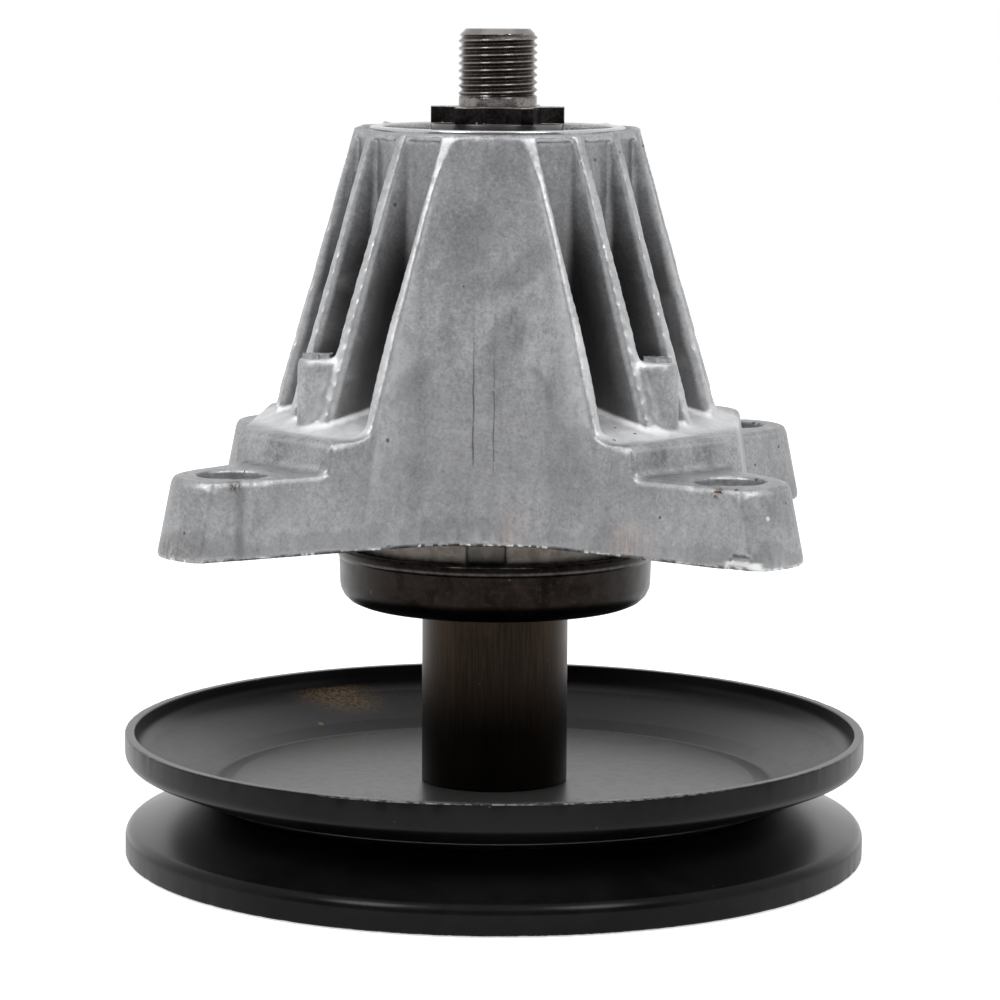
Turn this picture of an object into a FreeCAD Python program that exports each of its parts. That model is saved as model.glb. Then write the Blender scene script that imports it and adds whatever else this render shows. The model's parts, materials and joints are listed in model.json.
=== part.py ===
import FreeCAD, Part
import Sketcher
import os

# Mower deck spindle, standing on its pulley with the blade end up.
# Millimetres. The origin is on the spindle axis at the pulley's lower rim, +Z points to the blade end.

SIZES = {
    # belt pulley, two equal pressed discs back to back
    "pulley_dia": 152.4,
    "pulley_lip_height": 5.66,
    "pulley_sheet": 2.0,
    "groove_root_dia": 119.0,
    "groove_flank_angle": 23.0,
    "pulley_bend_radius": 1.5,
    # spacer tube and dust cap
    "pulley_spacer_dia": 30.0,
    "pulley_spacer_length": 38.25,
    "cap_dia": 64.0,
    "cap_rim_step": 0.4,
    "cap_rim_height": 2.0,
    "cap_height": 11.8,
    "cap_sheet": 1.5,
    "cap_corner_radius": 5.0,
    "cap_seat_raise": 1.0,
    "cap_seat_dia": 33.0,
    # ball bearings
    "bearing_bore": 20.0,
    "bearing_dia": 47.0,
    "bearing_width": 14.0,
    "ball_dia": 7.938,
    "ball_count": 8,
    "ball_circle_dia": 33.5,
    "ball_gap": 0.13,
    "race_land_gap": 5.3,
    "seal_sheet": 1.2,
    "seal_recess": 0.4,
    "seal_seat_depth": 1.0,
    "seal_lip_gap": 0.35,
    "cage_wall": 3.1,
    "cage_crown": 4.9,
    "cage_skirt": 2.4,
    "race_chamfer": 0.8,
    "bearing_spacer_dia": 26.0,
    # shaft
    "collar_dia": 26.8,
    "collar_height": 3.0,
    "star_dia": 27.0,
    "star_core_dia": 18.6,
    "star_height": 3.4,
    "star_lobe_count": 6,
    "star_tip_width": 2.7,
    "star_root_width": 7.0,
    "thread_dia": 16.0,
    "blade_thread_length": 15.6,
    "thread_chamfer": 1.0,
    "drive_flats": 16.4,
    "drive_length": 6.0,
    "shaft_foot_clearance": 0.8,
    # pulley nut
    "nut_flats": 24.0,
    "nut_height": 9.4,
    "nut_flange_dia": 33.0,
    "nut_flange_height": 2.6,
    "nut_flange_edge": 1.0,
    "nut_flange_waist": 2.0,
    # housing
    "boss_height": 13.5,
    "housing_height": 80.7,
    "bearing_set_in": 1.7,
    "top_rim_height": 1.2,
    "seat_ring_dia": 52.0,
    "seat_ring_height": 0.7,
    "tube_top_dia": 56.6,
    "tube_foot_dia": 57.6,
    "panel_top_dia": 58.4,
    "panel_foot_dia": 67.8,
    "panel_width": 26.0,
    "panel_blend_radius": 12.0,
    "boss_dia": 58.0,
    "boss_notch_width": 8.0,
    "boss_notch_depth": 1.2,
    "boss_chamfer": 1.5,
    "middle_bore": 40.0,
    "wall_angle": 33.4,
    "wall_offset": 27.4,
    "wall_draft": 2.8,
    "wall_sheet": 2.3,
    "wing_reach": 72.0,
    "fin_sheet": 2.3,
    "fin_cone_top_dia": 58.4,
    "fin_setback": 3.5,
    "fin_sink": 3.0,
    "fin_one_angle": 53.0,
    "fin_one_turn": 28.0,
    "fin_two_angle": 32.5,
    "fin_two_turn": 21.2,
    "fin_three_angle": 11.5,
    "fin_three_turn": 6.7,
    "ear_spacing": 96.0,
    "ear_foot_radius": 14.7,
    "ear_top_radius": 11.6,
    "ear_height": 15.7,
    "ear_edge_radius": 1.2,
    "ear_hole_dia": 8.5,
    "ear_seat_dia": 13.8,
    "ear_seat_depth": 2.6,
    "wing_side": 52.0,
    "shelf_height": 22.0,
    "shelf_side": 49.6,
    "ear_step": 14.4,
    "shelf_edge_radius": 1.5,
    "draft_angle": 8.0,
    "floor_rise": 7.0,
    "floor_setback": 1.6,
    "post_dia": 8.6,
    "post_top_dia": 8.2,
    "post_height": 14.5,
    "post_x": 33.6,
    "post_y": 27.0,
    "wing_core_depth": 15.0,
    "wing_core_inner": 36.0,
    "wing_core_outer": 46.0,
    "wing_core_half_length": 23.0,
    "wing_core_draft": 3.0,
    # clearances
    "slip_gap": 0.03,
    "drive_gap": 0.1,
    # runs of cuts and blocks into what they meet
    "overlap": 1.0,
    "drill_run": 5.0,
}

doc = FreeCAD.newDocument("mower_deck_spindle")
sheet = doc.addObject("Spreadsheet::Sheet", "Sizes")
for row, (alias, size) in enumerate(SIZES.items(), start=1):
    sheet.set("A%d" % row, alias)
    sheet.set("B%d" % row, str(size))
    sheet.setAlias("B%d" % row, alias)
doc.recompute()


def number(expression):
    value = sheet.evalExpression(expression)
    return float(getattr(value, "Value", value))


# Heights along the axis, each built up from the piece below it
PULLEY_RIM = "(Sizes.pulley_dia / 2)"
GROOVE_ROOT = "(Sizes.groove_root_dia / 2)"
FLANK_SLOPE = "tan(Sizes.groove_flank_angle * 1 deg)"
FLANK_RISE = "((%s - %s) * %s)" % (PULLEY_RIM, GROOVE_ROOT, FLANK_SLOPE)
DISC_HEIGHT = "(%s + Sizes.pulley_lip_height)" % FLANK_RISE
WEB_FOOT = "(%s - Sizes.pulley_sheet)" % DISC_HEIGHT
WEB_TOP = "(%s + Sizes.pulley_sheet)" % DISC_HEIGHT
CAP_SEAT = "(%s + Sizes.pulley_spacer_length)" % WEB_TOP
CAP_FOOT = "(%s - Sizes.cap_seat_raise)" % CAP_SEAT
PULLEY_BEARING_Z = "(%s + Sizes.cap_sheet)" % CAP_SEAT
BEARING_SPACER_Z = "(%s + Sizes.bearing_width)" % PULLEY_BEARING_Z
MOUNT_Z = "(%s + Sizes.boss_height)" % PULLEY_BEARING_Z
EAR_TOP = "(%s + Sizes.ear_height)" % MOUNT_Z
SHELF_TOP = "(%s + Sizes.shelf_height)" % MOUNT_Z
HOUSING_TOP = "(%s + Sizes.housing_height)" % MOUNT_Z
BLADE_BEARING_Z = "(%s - Sizes.bearing_set_in - Sizes.bearing_width)" % HOUSING_TOP
COLLAR_Z = "(%s + Sizes.bearing_width)" % BLADE_BEARING_Z
STAR_Z = "(%s + Sizes.collar_height)" % COLLAR_Z
THREAD_Z = "(%s + Sizes.star_height)" % STAR_Z
SHAFT_TOP = "(%s + Sizes.blade_thread_length)" % THREAD_Z

SHAFT_RADIUS = "(Sizes.bearing_bore / 2)"
SLIP_RADIUS = "(Sizes.bearing_bore / 2 + Sizes.slip_gap)"
THREAD_RADIUS = "(Sizes.thread_dia / 2)"


def new_body(name):
    body = doc.addObject("PartDesign::Body", name)
    body.Label = name
    return body


def origin_item(body, role):
    return next(item for item in body.Origin.OriginFeatures if item.Role == role)


def new_sketch(body, name, role, height="0"):
    sketch = body.newObject("Sketcher::SketchObject", name)
    sketch.AttachmentSupport = (origin_item(body, role), [""])
    sketch.MapMode = "FlatFace"
    if height != "0":
        sketch.setExpression("AttachmentOffset.Base.z", height)
    return sketch


def pin(sketch, geometry, point, x, y):
    # Holds one sketch point at the two distances from the origin
    spot = sketch.getPoint(geometry, point)
    for kind, axis, expression, now in (("DistanceX", -2, x, spot.x), ("DistanceY", -1, y, spot.y)):
        if expression == "0":
            sketch.addConstraint(Sketcher.Constraint("PointOnObject", geometry, point, axis))
            continue
        index = sketch.addConstraint(Sketcher.Constraint(kind, -1, 1, geometry, point, now))
        sketch.setExpression("Constraints[%d]" % index, expression)


def loop(sketch, points):
    # Closed outline of straight lines through the given corners
    corners = [FreeCAD.Vector(number(x), number(y), 0) for x, y in points]
    first = sketch.GeometryCount
    count = len(points)
    for i in range(count):
        sketch.addGeometry(Part.LineSegment(corners[i], corners[(i + 1) % count]), False)
    for i in range(count):
        ahead = first + (i + 1) % count
        sketch.addConstraint(Sketcher.Constraint("Coincident", first + i, 2, ahead, 1))
    for i, (x, y) in enumerate(points):
        pin(sketch, first + i, 1, x, y)
    return sketch


def ring(sketch, radius, x="0", y="0"):
    # Full circle with its centre held at x, y
    centre = FreeCAD.Vector(number(x), number(y), 0)
    circle = sketch.addGeometry(Part.Circle(centre, FreeCAD.Vector(0, 0, 1), number(radius)), False)
    pin(sketch, circle, 3, x, y)
    index = sketch.addConstraint(Sketcher.Constraint("Radius", circle, number(radius)))
    sketch.setExpression("Constraints[%d]" % index, radius)
    return sketch


def turned(body, name, points, kind="PartDesign::Revolution"):
    # Outline of radius and height, turned about the spindle axis
    sketch = loop(new_sketch(body, name + "_outline", "XZ_Plane"), points)
    return spun(body, name, sketch, kind)


def spun(body, name, sketch, kind):
    feature = body.newObject(kind, name)
    feature.Profile = sketch
    feature.ReferenceAxis = (sketch, ["V_Axis"])
    feature.Angle = 360
    doc.recompute()
    return feature


def padded(body, name, sketch, length):
    feature = body.newObject("PartDesign::Pad", name)
    feature.Profile = sketch
    feature.setExpression("Length", length)
    doc.recompute()
    return feature


def pocketed_through(body, name, sketch):
    feature = body.newObject("PartDesign::Pocket", name)
    feature.Profile = sketch
    feature.Type = "ThroughAll"
    feature.Midplane = True
    doc.recompute()
    return feature


def dressed(body, kind, name, size, rings):
    # Rounds or bevels the full circles found at the given radius and height
    base = body.Tip
    names = []
    for radius, height in rings:
        for i, edge in enumerate(base.Shape.Edges, start=1):
            if edge.Curve.TypeId != "Part::GeomCircle":
                continue
            same_radius = abs(edge.Curve.Radius - number(radius)) < 0.005
            if same_radius and abs(edge.Curve.Center.z - number(height)) < 0.005:
                names.append("Edge%d" % i)
    if len(names) < len(rings):
        raise ValueError("an edge of %s was not found" % name)
    feature = body.newObject(kind, name)
    feature.Base = (base, names)
    feature.setExpression("Radius" if kind.endswith("Fillet") else "Size", size)
    doc.recompute()
    return feature


def double_d(sketch, radius, flats):
    # Round outline with two parallel flats, the flats facing the Y axis
    half = number(flats) / 2
    reach = (number(radius) ** 2 - half ** 2) ** 0.5
    centre = FreeCAD.Vector(0, 0, 0)
    corners = [(reach, -half), (reach, half), (-reach, half), (-reach, -half)]
    right, upper_right, upper_left, left = [FreeCAD.Vector(x, y, 0) for x, y in corners]
    east = FreeCAD.Vector(number(radius), 0, 0)
    sketch.addGeometry(Part.Arc(right, east, upper_right), False)
    sketch.addGeometry(Part.LineSegment(upper_right, upper_left), False)
    sketch.addGeometry(Part.Arc(upper_left, east * -1, left), False)
    sketch.addGeometry(Part.LineSegment(left, right), False)
    for arc in (0, 2):
        sketch.addConstraint(Sketcher.Constraint("Coincident", arc, 3, -1, 1))
        index = sketch.addConstraint(Sketcher.Constraint("Radius", arc, number(radius)))
        sketch.setExpression("Constraints[%d]" % index, radius)
    sketch.addConstraint(Sketcher.Constraint("Coincident", 0, 2, 1, 1))
    sketch.addConstraint(Sketcher.Constraint("Coincident", 1, 2, 2, 1))
    sketch.addConstraint(Sketcher.Constraint("Coincident", 2, 2, 3, 1))
    sketch.addConstraint(Sketcher.Constraint("Coincident", 3, 2, 0, 1))
    for line, sign in ((1, ""), (3, "-")):
        sketch.addConstraint(Sketcher.Constraint("Horizontal", line))
        side = half if sign == "" else -half
        index = sketch.addConstraint(Sketcher.Constraint("DistanceY", -1, 1, line, 1, side))
        sketch.setExpression("Constraints[%d]" % index, "%s(%s) / 2" % (sign, flats))
    return sketch


# Pulley disc: flat web, sloping flank and upright rim, drawn from the seam upwards
def pulley_disc(name, turned_over):
    body = new_body(name)
    root_inside = "(%s - Sizes.pulley_sheet * tan(Sizes.groove_flank_angle * 0.5 deg))" % GROOVE_ROOT
    rim_inside = "(%s - Sizes.pulley_sheet)" % PULLEY_RIM
    shoulder_inside = "(Sizes.pulley_sheet + (%s - %s) * %s)" % (rim_inside, root_inside, FLANK_SLOPE)
    turned(body, name + "_disc", [
        ("0", "0"),
        (GROOVE_ROOT, "0"),
        (PULLEY_RIM, FLANK_RISE),
        (PULLEY_RIM, DISC_HEIGHT),
        (rim_inside, DISC_HEIGHT),
        (rim_inside, shoulder_inside),
        (root_inside, "Sizes.pulley_sheet"),
        ("0", "Sizes.pulley_sheet"),
    ])
    outer_bend = "(Sizes.pulley_bend_radius + Sizes.pulley_sheet)"
    dressed(body, "PartDesign::Fillet", name + "_outer_bend", outer_bend, [(PULLEY_RIM, FLANK_RISE)])
    dressed(body, "PartDesign::Fillet", name + "_inner_bend", "Sizes.pulley_bend_radius",
            [(rim_inside, shoulder_inside)])
    dressed(body, "PartDesign::Fillet", name + "_root_bend", outer_bend,
            [(GROOVE_ROOT, "0"), (root_inside, "Sizes.pulley_sheet")])
    bore = double_d(new_sketch(body, name + "_bore_outline", "XY_Plane"),
                    "(%s + Sizes.drive_gap)" % SHAFT_RADIUS, "(Sizes.drive_flats + 2 * Sizes.drive_gap)")
    pocketed_through(body, name + "_bore", bore)
    body.setExpression("Placement.Base.z", DISC_HEIGHT)
    if turned_over:
        body.Placement.Rotation = FreeCAD.Rotation(FreeCAD.Vector(1, 0, 0), 180)
    return body


upper_sheave = pulley_disc("pulley_upper_sheave", False)
lower_sheave = pulley_disc("pulley_lower_sheave", True)

# Spacer tube between pulley and dust cap
pulley_spacer = new_body("pulley_spacer")
turned(pulley_spacer, "pulley_spacer_tube", [
    (SLIP_RADIUS, WEB_TOP),
    ("Sizes.pulley_spacer_dia / 2", WEB_TOP),
    ("Sizes.pulley_spacer_dia / 2", CAP_SEAT),
    (SLIP_RADIUS, CAP_SEAT),
])

# Dust cap: pressed cup with a raised seat for the bearing's inner race
dust_cap = new_body("dust_cap")
cap_outside = "(Sizes.cap_dia / 2 - Sizes.cap_rim_step)"
cap_inside = "(%s - Sizes.cap_sheet)" % cap_outside
cap_rim_z = "(%s + Sizes.cap_height - Sizes.cap_rim_height)" % CAP_FOOT
cap_floor = "(%s + Sizes.cap_sheet)" % CAP_FOOT
cap_seat_inside = "(Sizes.pulley_spacer_dia / 2 + Sizes.drive_gap)"
turned(dust_cap, "dust_cap_cup", [
    (SLIP_RADIUS, CAP_SEAT),
    (cap_seat_inside, CAP_SEAT),
    (cap_seat_inside, CAP_FOOT),
    (cap_outside, CAP_FOOT),
    (cap_outside, cap_rim_z),
    ("Sizes.cap_dia / 2", "%s + Sizes.cap_rim_step" % cap_rim_z),
    ("Sizes.cap_dia / 2", "%s + Sizes.cap_height" % CAP_FOOT),
    (cap_inside, "%s + Sizes.cap_height" % CAP_FOOT),
    (cap_inside, cap_floor),
    ("Sizes.cap_seat_dia / 2", cap_floor),
    ("Sizes.cap_seat_dia / 2", PULLEY_BEARING_Z),
    (SLIP_RADIUS, PULLEY_BEARING_Z),
])
dressed(dust_cap, "PartDesign::Fillet", "dust_cap_corner", "Sizes.cap_corner_radius",
        [(cap_outside, CAP_FOOT)])
dressed(dust_cap, "PartDesign::Fillet", "dust_cap_inner_corner", "Sizes.cap_corner_radius - Sizes.cap_sheet",
        [(cap_inside, cap_floor)])

# Tube between the inner races
bearing_spacer = new_body("bearing_spacer")
turned(bearing_spacer, "bearing_spacer_tube", [
    (SLIP_RADIUS, BEARING_SPACER_Z),
    ("Sizes.bearing_spacer_dia / 2", BEARING_SPACER_Z),
    ("Sizes.bearing_spacer_dia / 2", BLADE_BEARING_Z),
    (SLIP_RADIUS, BLADE_BEARING_Z),
])


# Sealed deep-groove ball bearing standing at the given height
def ball_bearing(name, foot):
    top = "(%s + Sizes.bearing_width)" % foot
    middle = "(%s + Sizes.bearing_width / 2)" % foot
    circle = "(Sizes.ball_circle_dia / 2)"
    groove = "(Sizes.ball_dia / 2 + Sizes.ball_gap)"
    outer_land = "(%s + Sizes.race_land_gap / 2)" % circle
    inner_land = "(%s - Sizes.race_land_gap / 2)" % circle
    seal_seat = "(%s + Sizes.seal_seat_depth)" % outer_land
    seal_depth = "(Sizes.seal_recess + Sizes.seal_sheet)"
    outside = "(Sizes.bearing_dia / 2)"

    outer = new_body(name + "_outer_race")
    turned(outer, name + "_outer_ring", [
        (seal_seat, foot),
        (outside, foot),
        (outside, top),
        (seal_seat, top),
        (seal_seat, "%s - %s" % (top, seal_depth)),
        (outer_land, "%s - %s" % (top, seal_depth)),
        (outer_land, "%s + %s" % (foot, seal_depth)),
        (seal_seat, "%s + %s" % (foot, seal_depth)),
    ])
    outer_track = ring(new_sketch(outer, name + "_outer_track_outline", "XZ_Plane"), groove, circle, middle)
    spun(outer, name + "_outer_track", outer_track, "PartDesign::Groove")
    dressed(outer, "PartDesign::Chamfer", name + "_outer_bevel", "Sizes.race_chamfer",
            [(outside, foot), (outside, top)])

    inner = new_body(name + "_inner_race")
    turned(inner, name + "_inner_ring", [
        (SLIP_RADIUS, foot),
        (inner_land, foot),
        (inner_land, top),
        (SLIP_RADIUS, top),
    ])
    inner_track = ring(new_sketch(inner, name + "_inner_track_outline", "XZ_Plane"), groove, circle, middle)
    spun(inner, name + "_inner_track", inner_track, "PartDesign::Groove")

    for side, low in (("outer", "%s - %s" % (top, seal_depth)), ("inner", "%s + Sizes.seal_recess" % foot)):
        if name == "pulley_bearing":
            side = "inner" if side == "outer" else "outer"
        seal = new_body("%s_%s_seal" % (name, side))
        high = "%s + Sizes.seal_sheet" % low
        turned(seal, "%s_%s_seal_disc" % (name, side), [
            ("%s + Sizes.seal_lip_gap" % inner_land, low),
            ("%s - Sizes.slip_gap" % seal_seat, low),
            ("%s - Sizes.slip_gap" % seal_seat, high),
            ("%s + Sizes.seal_lip_gap" % inner_land, high),
        ])

    spheres = []
    pockets = []
    step = 360.0 / number("Sizes.ball_count")
    for i in range(int(number("Sizes.ball_count"))):
        for pieces, kind, radius in ((spheres, "ball", "Sizes.ball_dia / 2"), (pockets, "pocket", groove)):
            sphere = doc.addObject("Part::Sphere", "%s_%s_%d" % (name, kind, i + 1))
            sphere.setExpression("Radius", radius)
            sphere.setExpression("Placement.Base.x", "%s * cos(%f deg)" % (circle, i * step))
            sphere.setExpression("Placement.Base.y", "%s * sin(%f deg)" % (circle, i * step))
            sphere.setExpression("Placement.Base.z", middle)
            pieces.append(sphere)
    balls = doc.addObject("Part::Compound", name + "_balls")
    balls.Links = spheres
    balls.Label = name + "_balls"

    # Crown cage: a ring above the balls with fingers between them
    blank = new_body(name + "_cage_blank")
    turned(blank, name + "_cage_ring", [
        ("%s - Sizes.cage_wall / 2" % circle, "%s - Sizes.cage_skirt" % middle),
        ("%s + Sizes.cage_wall / 2" % circle, "%s - Sizes.cage_skirt" % middle),
        ("%s + Sizes.cage_wall / 2" % circle, "%s + Sizes.cage_crown" % middle),
        ("%s - Sizes.cage_wall / 2" % circle, "%s + Sizes.cage_crown" % middle),
    ])
    ball_room = doc.addObject("Part::Compound", name + "_cage_pockets")
    ball_room.Links = pockets
    cage = doc.addObject("Part::Cut", name + "_cage")
    cage.Base = blank
    cage.Tool = ball_room
    cage.Label = name + "_cage"


ball_bearing("pulley_bearing", PULLEY_BEARING_Z)
ball_bearing("blade_bearing", BLADE_BEARING_Z)

# Shaft: threaded foot, flatted pulley drive, journal, collar, blade star and blade thread
shaft = new_body("spindle_shaft")
shaft_foot = "Sizes.shaft_foot_clearance"
turned(shaft, "shaft_turning", [
    ("0", shaft_foot),
    ("%s - Sizes.thread_chamfer" % THREAD_RADIUS, shaft_foot),
    (THREAD_RADIUS, "%s + Sizes.thread_chamfer" % shaft_foot),
    (THREAD_RADIUS, WEB_FOOT),
    (SHAFT_RADIUS, WEB_FOOT),
    (SHAFT_RADIUS, COLLAR_Z),
    ("Sizes.collar_dia / 2", COLLAR_Z),
    ("Sizes.collar_dia / 2", STAR_Z),
    ("Sizes.star_core_dia / 2", STAR_Z),
    ("Sizes.star_core_dia / 2", THREAD_Z),
    (THREAD_RADIUS, THREAD_Z),
    (THREAD_RADIUS, "%s - Sizes.thread_chamfer" % SHAFT_TOP),
    ("%s - Sizes.thread_chamfer" % THREAD_RADIUS, SHAFT_TOP),
    ("0", SHAFT_TOP),
])
flats = new_sketch(shaft, "shaft_flats_outline", "YZ_Plane")
for sign in ("", "-"):
    loop(flats, [
        ("%sSizes.drive_flats / 2" % sign, "%s - Sizes.overlap" % WEB_FOOT),
        ("%sSizes.bearing_bore" % sign, "%s - Sizes.overlap" % WEB_FOOT),
        ("%sSizes.bearing_bore" % sign, "%s + Sizes.drive_length" % WEB_FOOT),
        ("%sSizes.drive_flats / 2" % sign, "%s + Sizes.drive_length" % WEB_FOOT),
    ])
pocketed_through(shaft, "shaft_flats", flats)
lobe_outline = loop(new_sketch(shaft, "star_lobe_outline", "XY_Plane", STAR_Z), [
    ("Sizes.star_core_dia / 3", "-Sizes.star_root_width / 2"),
    ("Sizes.star_dia / 2", "-Sizes.star_tip_width / 2"),
    ("Sizes.star_dia / 2", "Sizes.star_tip_width / 2"),
    ("Sizes.star_core_dia / 3", "Sizes.star_root_width / 2"),
])
lobe = padded(shaft, "star_lobe", lobe_outline, "Sizes.star_height")
star = shaft.newObject("PartDesign::PolarPattern", "star_lobes")
star.Originals = [lobe]
star.Axis = (origin_item(shaft, "Z_Axis"), [""])
star.Angle = 360
star.setExpression("Occurrences", "Sizes.star_lobe_count")
shaft.Tip = star
doc.recompute()

# Flange nut below the pulley
nut = new_body("pulley_nut")
nut_foot = "(%s - Sizes.nut_height)" % WEB_FOOT
nut_corner = "(Sizes.nut_flats / sqrt(3))"
hexagon = []
for turn in range(0, 360, 60):
    corner_y = "%s * sin(%d deg)" % (nut_corner, turn) if turn % 180 else "0"
    hexagon.append(("%s * cos(%d deg)" % (nut_corner, turn), corner_y))
hexagon_outline = loop(new_sketch(nut, "nut_hexagon_outline", "XY_Plane", nut_foot), hexagon)
padded(nut, "nut_hexagon", hexagon_outline, "Sizes.nut_height")
flange_foot = "(%s - Sizes.nut_flange_height)" % WEB_FOOT
turned(nut, "nut_flange", [
    (THREAD_RADIUS, flange_foot),
    ("Sizes.nut_flats / 2 + Sizes.nut_flange_waist", flange_foot),
    ("Sizes.nut_flange_dia / 2", "%s - Sizes.nut_flange_edge" % WEB_FOOT),
    ("Sizes.nut_flange_dia / 2", WEB_FOOT),
    (THREAD_RADIUS, WEB_FOOT),
])
turned(nut, "nut_corner_bevel", [
    ("Sizes.nut_flats / 2", nut_foot),
    ("Sizes.nut_flats", nut_foot),
    ("Sizes.nut_flats", "%s + Sizes.nut_flats / 2 * tan(30 deg)" % nut_foot),
], "PartDesign::Groove")
nut_bore = ring(new_sketch(nut, "nut_bore_outline", "XY_Plane"), "%s + Sizes.slip_gap" % THREAD_RADIUS)
pocketed_through(nut, "nut_bore", nut_bore)


# Housing, a die casting: each shape below is one block or one cut of it
def solid(kind, name, sizes, place=None):
    item = doc.addObject(kind, name)
    for key, expression in sizes.items():
        item.setExpression(key, expression)
    for axis, expression in (place or {}).items():
        item.setExpression("Placement.Base." + axis, expression)
    return item


def fused(name, shapes):
    item = doc.addObject("Part::MultiFuse", name)
    item.Shapes = shapes
    return item


def cut(name, base, tool):
    item = doc.addObject("Part::Cut", name)
    item.Base = base
    item.Tool = tool
    return item


def common(name, base, tool):
    item = doc.addObject("Part::Common", name)
    item.Base = base
    item.Tool = tool
    return item


def mirrored(name, source, normal):
    item = doc.addObject("Part::Mirroring", name)
    item.Source = source
    item.Normal = FreeCAD.Vector(*normal)
    return item


def tapered(name, height, points, length, angle):
    # Upright block over a plan outline, its sides drawing in towards the top
    body = new_body(name)
    outline = loop(new_sketch(body, name + "_outline", "XY_Plane", height), points)
    block = padded(body, name + "_pad", outline, length)
    sides = []
    foot = None
    for i, face in enumerate(block.Shape.Faces, start=1):
        upright = face.normalAt(0, 0).z
        if abs(upright) < 0.5:
            sides.append("Face%d" % i)
        elif upright < 0:
            foot = "Face%d" % i
    draft = body.newObject("PartDesign::Draft", name + "_draft")
    draft.Base = (block, sides)
    draft.NeutralPlane = (block, [foot])
    draft.setExpression("Angle", angle)
    doc.recompute()
    return body


def bow_tie(name, foot, inset):
    # The two wings in plan: front and back walls that spread from the middle, with draft towards the top
    slope = "tan(Sizes.wall_angle * 1 deg)"
    drawn_in = "((%s - %s) * tan(Sizes.wall_draft * 1 deg) + %s)" % (foot, MOUNT_Z, inset)
    middle = "(Sizes.wall_offset - %s / cos(Sizes.wall_angle * 1 deg))" % drawn_in
    end = "(%s + Sizes.wing_reach * %s)" % (middle, slope)
    return tapered(name, foot, [
        ("0", "-%s" % middle),
        ("Sizes.wing_reach", "-%s" % end),
        ("Sizes.wing_reach", end),
        ("0", middle),
        ("-Sizes.wing_reach", end),
        ("-Sizes.wing_reach", "-%s" % end),
    ], "%s - %s" % (HOUSING_TOP, foot), "Sizes.wall_draft")


def rounded(name, base, radius, chosen):
    # Rounds the edges of a block that the given test picks out
    doc.recompute()
    size = number(radius)
    edges = [(i, size, size) for i, edge in enumerate(base.Shape.Edges, start=1) if chosen(edge)]
    if not edges:
        raise ValueError("no edge of %s was found" % name)
    item = doc.addObject("Part::Fillet", name)
    item.Base = base
    item.Edges = edges
    doc.recompute()
    return item


# Front and back surfaces of the whole casting: wing walls that blend into the round panels
fin_foot = "(%s - Sizes.fin_sink)" % SHELF_TOP
wings = bow_tie("wing_block", MOUNT_Z, "0")
panel_cone = solid("Part::Cone", "panel_cone", {
    "Radius1": "Sizes.panel_foot_dia / 2",
    "Radius2": "Sizes.panel_top_dia / 2",
    "Height": "Sizes.housing_height",
}, {"z": MOUNT_Z})
long_edge = number("Sizes.housing_height * 0.9")
panel_side = number("Sizes.panel_width / 2")
wings_with_panels = fused("wings_with_panels", [wings, panel_cone])
outer_form = rounded("outer_form", wings_with_panels, "Sizes.panel_blend_radius",
                     lambda edge: edge.Length > long_edge and abs(edge.CenterOfMass.x) < panel_side)
wings_inside = bow_tie("wing_block_inside", fin_foot, "Sizes.wall_sheet")
wings_outside = bow_tie("wing_block_outside", fin_foot, "(-Sizes.wall_sheet)")
walls = cut("wing_walls", wings_outside, wings_inside)

# Fins of one quarter, each an upright plate that leaves the tube at its own angle
fin_length = "(Sizes.wing_reach / 2)"
fin_start = "(Sizes.fin_cone_top_dia / 2)"
quarter = []
for place in ("one", "two", "three"):
    turn = "-Sizes.fin_%s_turn" % place
    angle = "-Sizes.fin_%s_angle" % place
    back = "Sizes.tube_top_dia / 5"
    fin = solid("Part::Box", "fin_%s" % place, {
        "Length": fin_length,
        "Width": "Sizes.fin_sheet",
        "Height": "%s - %s" % (HOUSING_TOP, fin_foot),
        "Placement.Rotation.Angle": "%s * 1 deg" % turn,
    }, {
        "x": "%s * cos(%s * 1 deg) - %s * cos(%s * 1 deg) + Sizes.fin_sheet / 2 * sin(%s * 1 deg)"
             % (fin_start, angle, back, turn, turn),
        "y": "%s * sin(%s * 1 deg) - %s * sin(%s * 1 deg) - Sizes.fin_sheet / 2 * cos(%s * 1 deg)"
             % (fin_start, angle, back, turn, turn),
        "z": fin_foot,
    })
    quarter.append(fin)
fins = fused("fin_quarter", quarter)
fins_left = mirrored("fin_quarter_left", fins, (1, 0, 0))
fins_front = fused("fin_half", [fins, fins_left])
fins_back = mirrored("fin_half_back", fins_front, (0, 1, 0))
fin_shelf_radius = "(Sizes.shelf_side - Sizes.fin_setback)"
fin_rise = "(Sizes.housing_height - Sizes.shelf_height)"
fin_slope = "((%s - Sizes.fin_cone_top_dia / 2) / %s)" % (fin_shelf_radius, fin_rise)
fin_cone = solid("Part::Cone", "fin_cone", {
    "Radius1": "%s + Sizes.shelf_height * %s" % (fin_shelf_radius, fin_slope),
    "Radius2": "Sizes.fin_cone_top_dia / 2",
    "Height": "Sizes.housing_height",
}, {"z": MOUNT_Z})
panel_band = solid("Part::Box", "panel_band", {
    "Length": "Sizes.panel_width",
    "Width": "Sizes.panel_foot_dia * 1.2",
    "Height": "Sizes.housing_height",
}, {"x": "-Sizes.panel_width / 2", "y": "-Sizes.panel_foot_dia * 0.6", "z": MOUNT_Z})
panel_fill = cut("panel_fill", panel_band, bow_tie("wing_block_behind", MOUNT_Z, "Sizes.wall_sheet"))
fin_plates = fused("fin_plates", [fins_front, fins_back, walls, panel_fill])
fin_set = common("fin_set", fin_plates, fin_cone)

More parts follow.
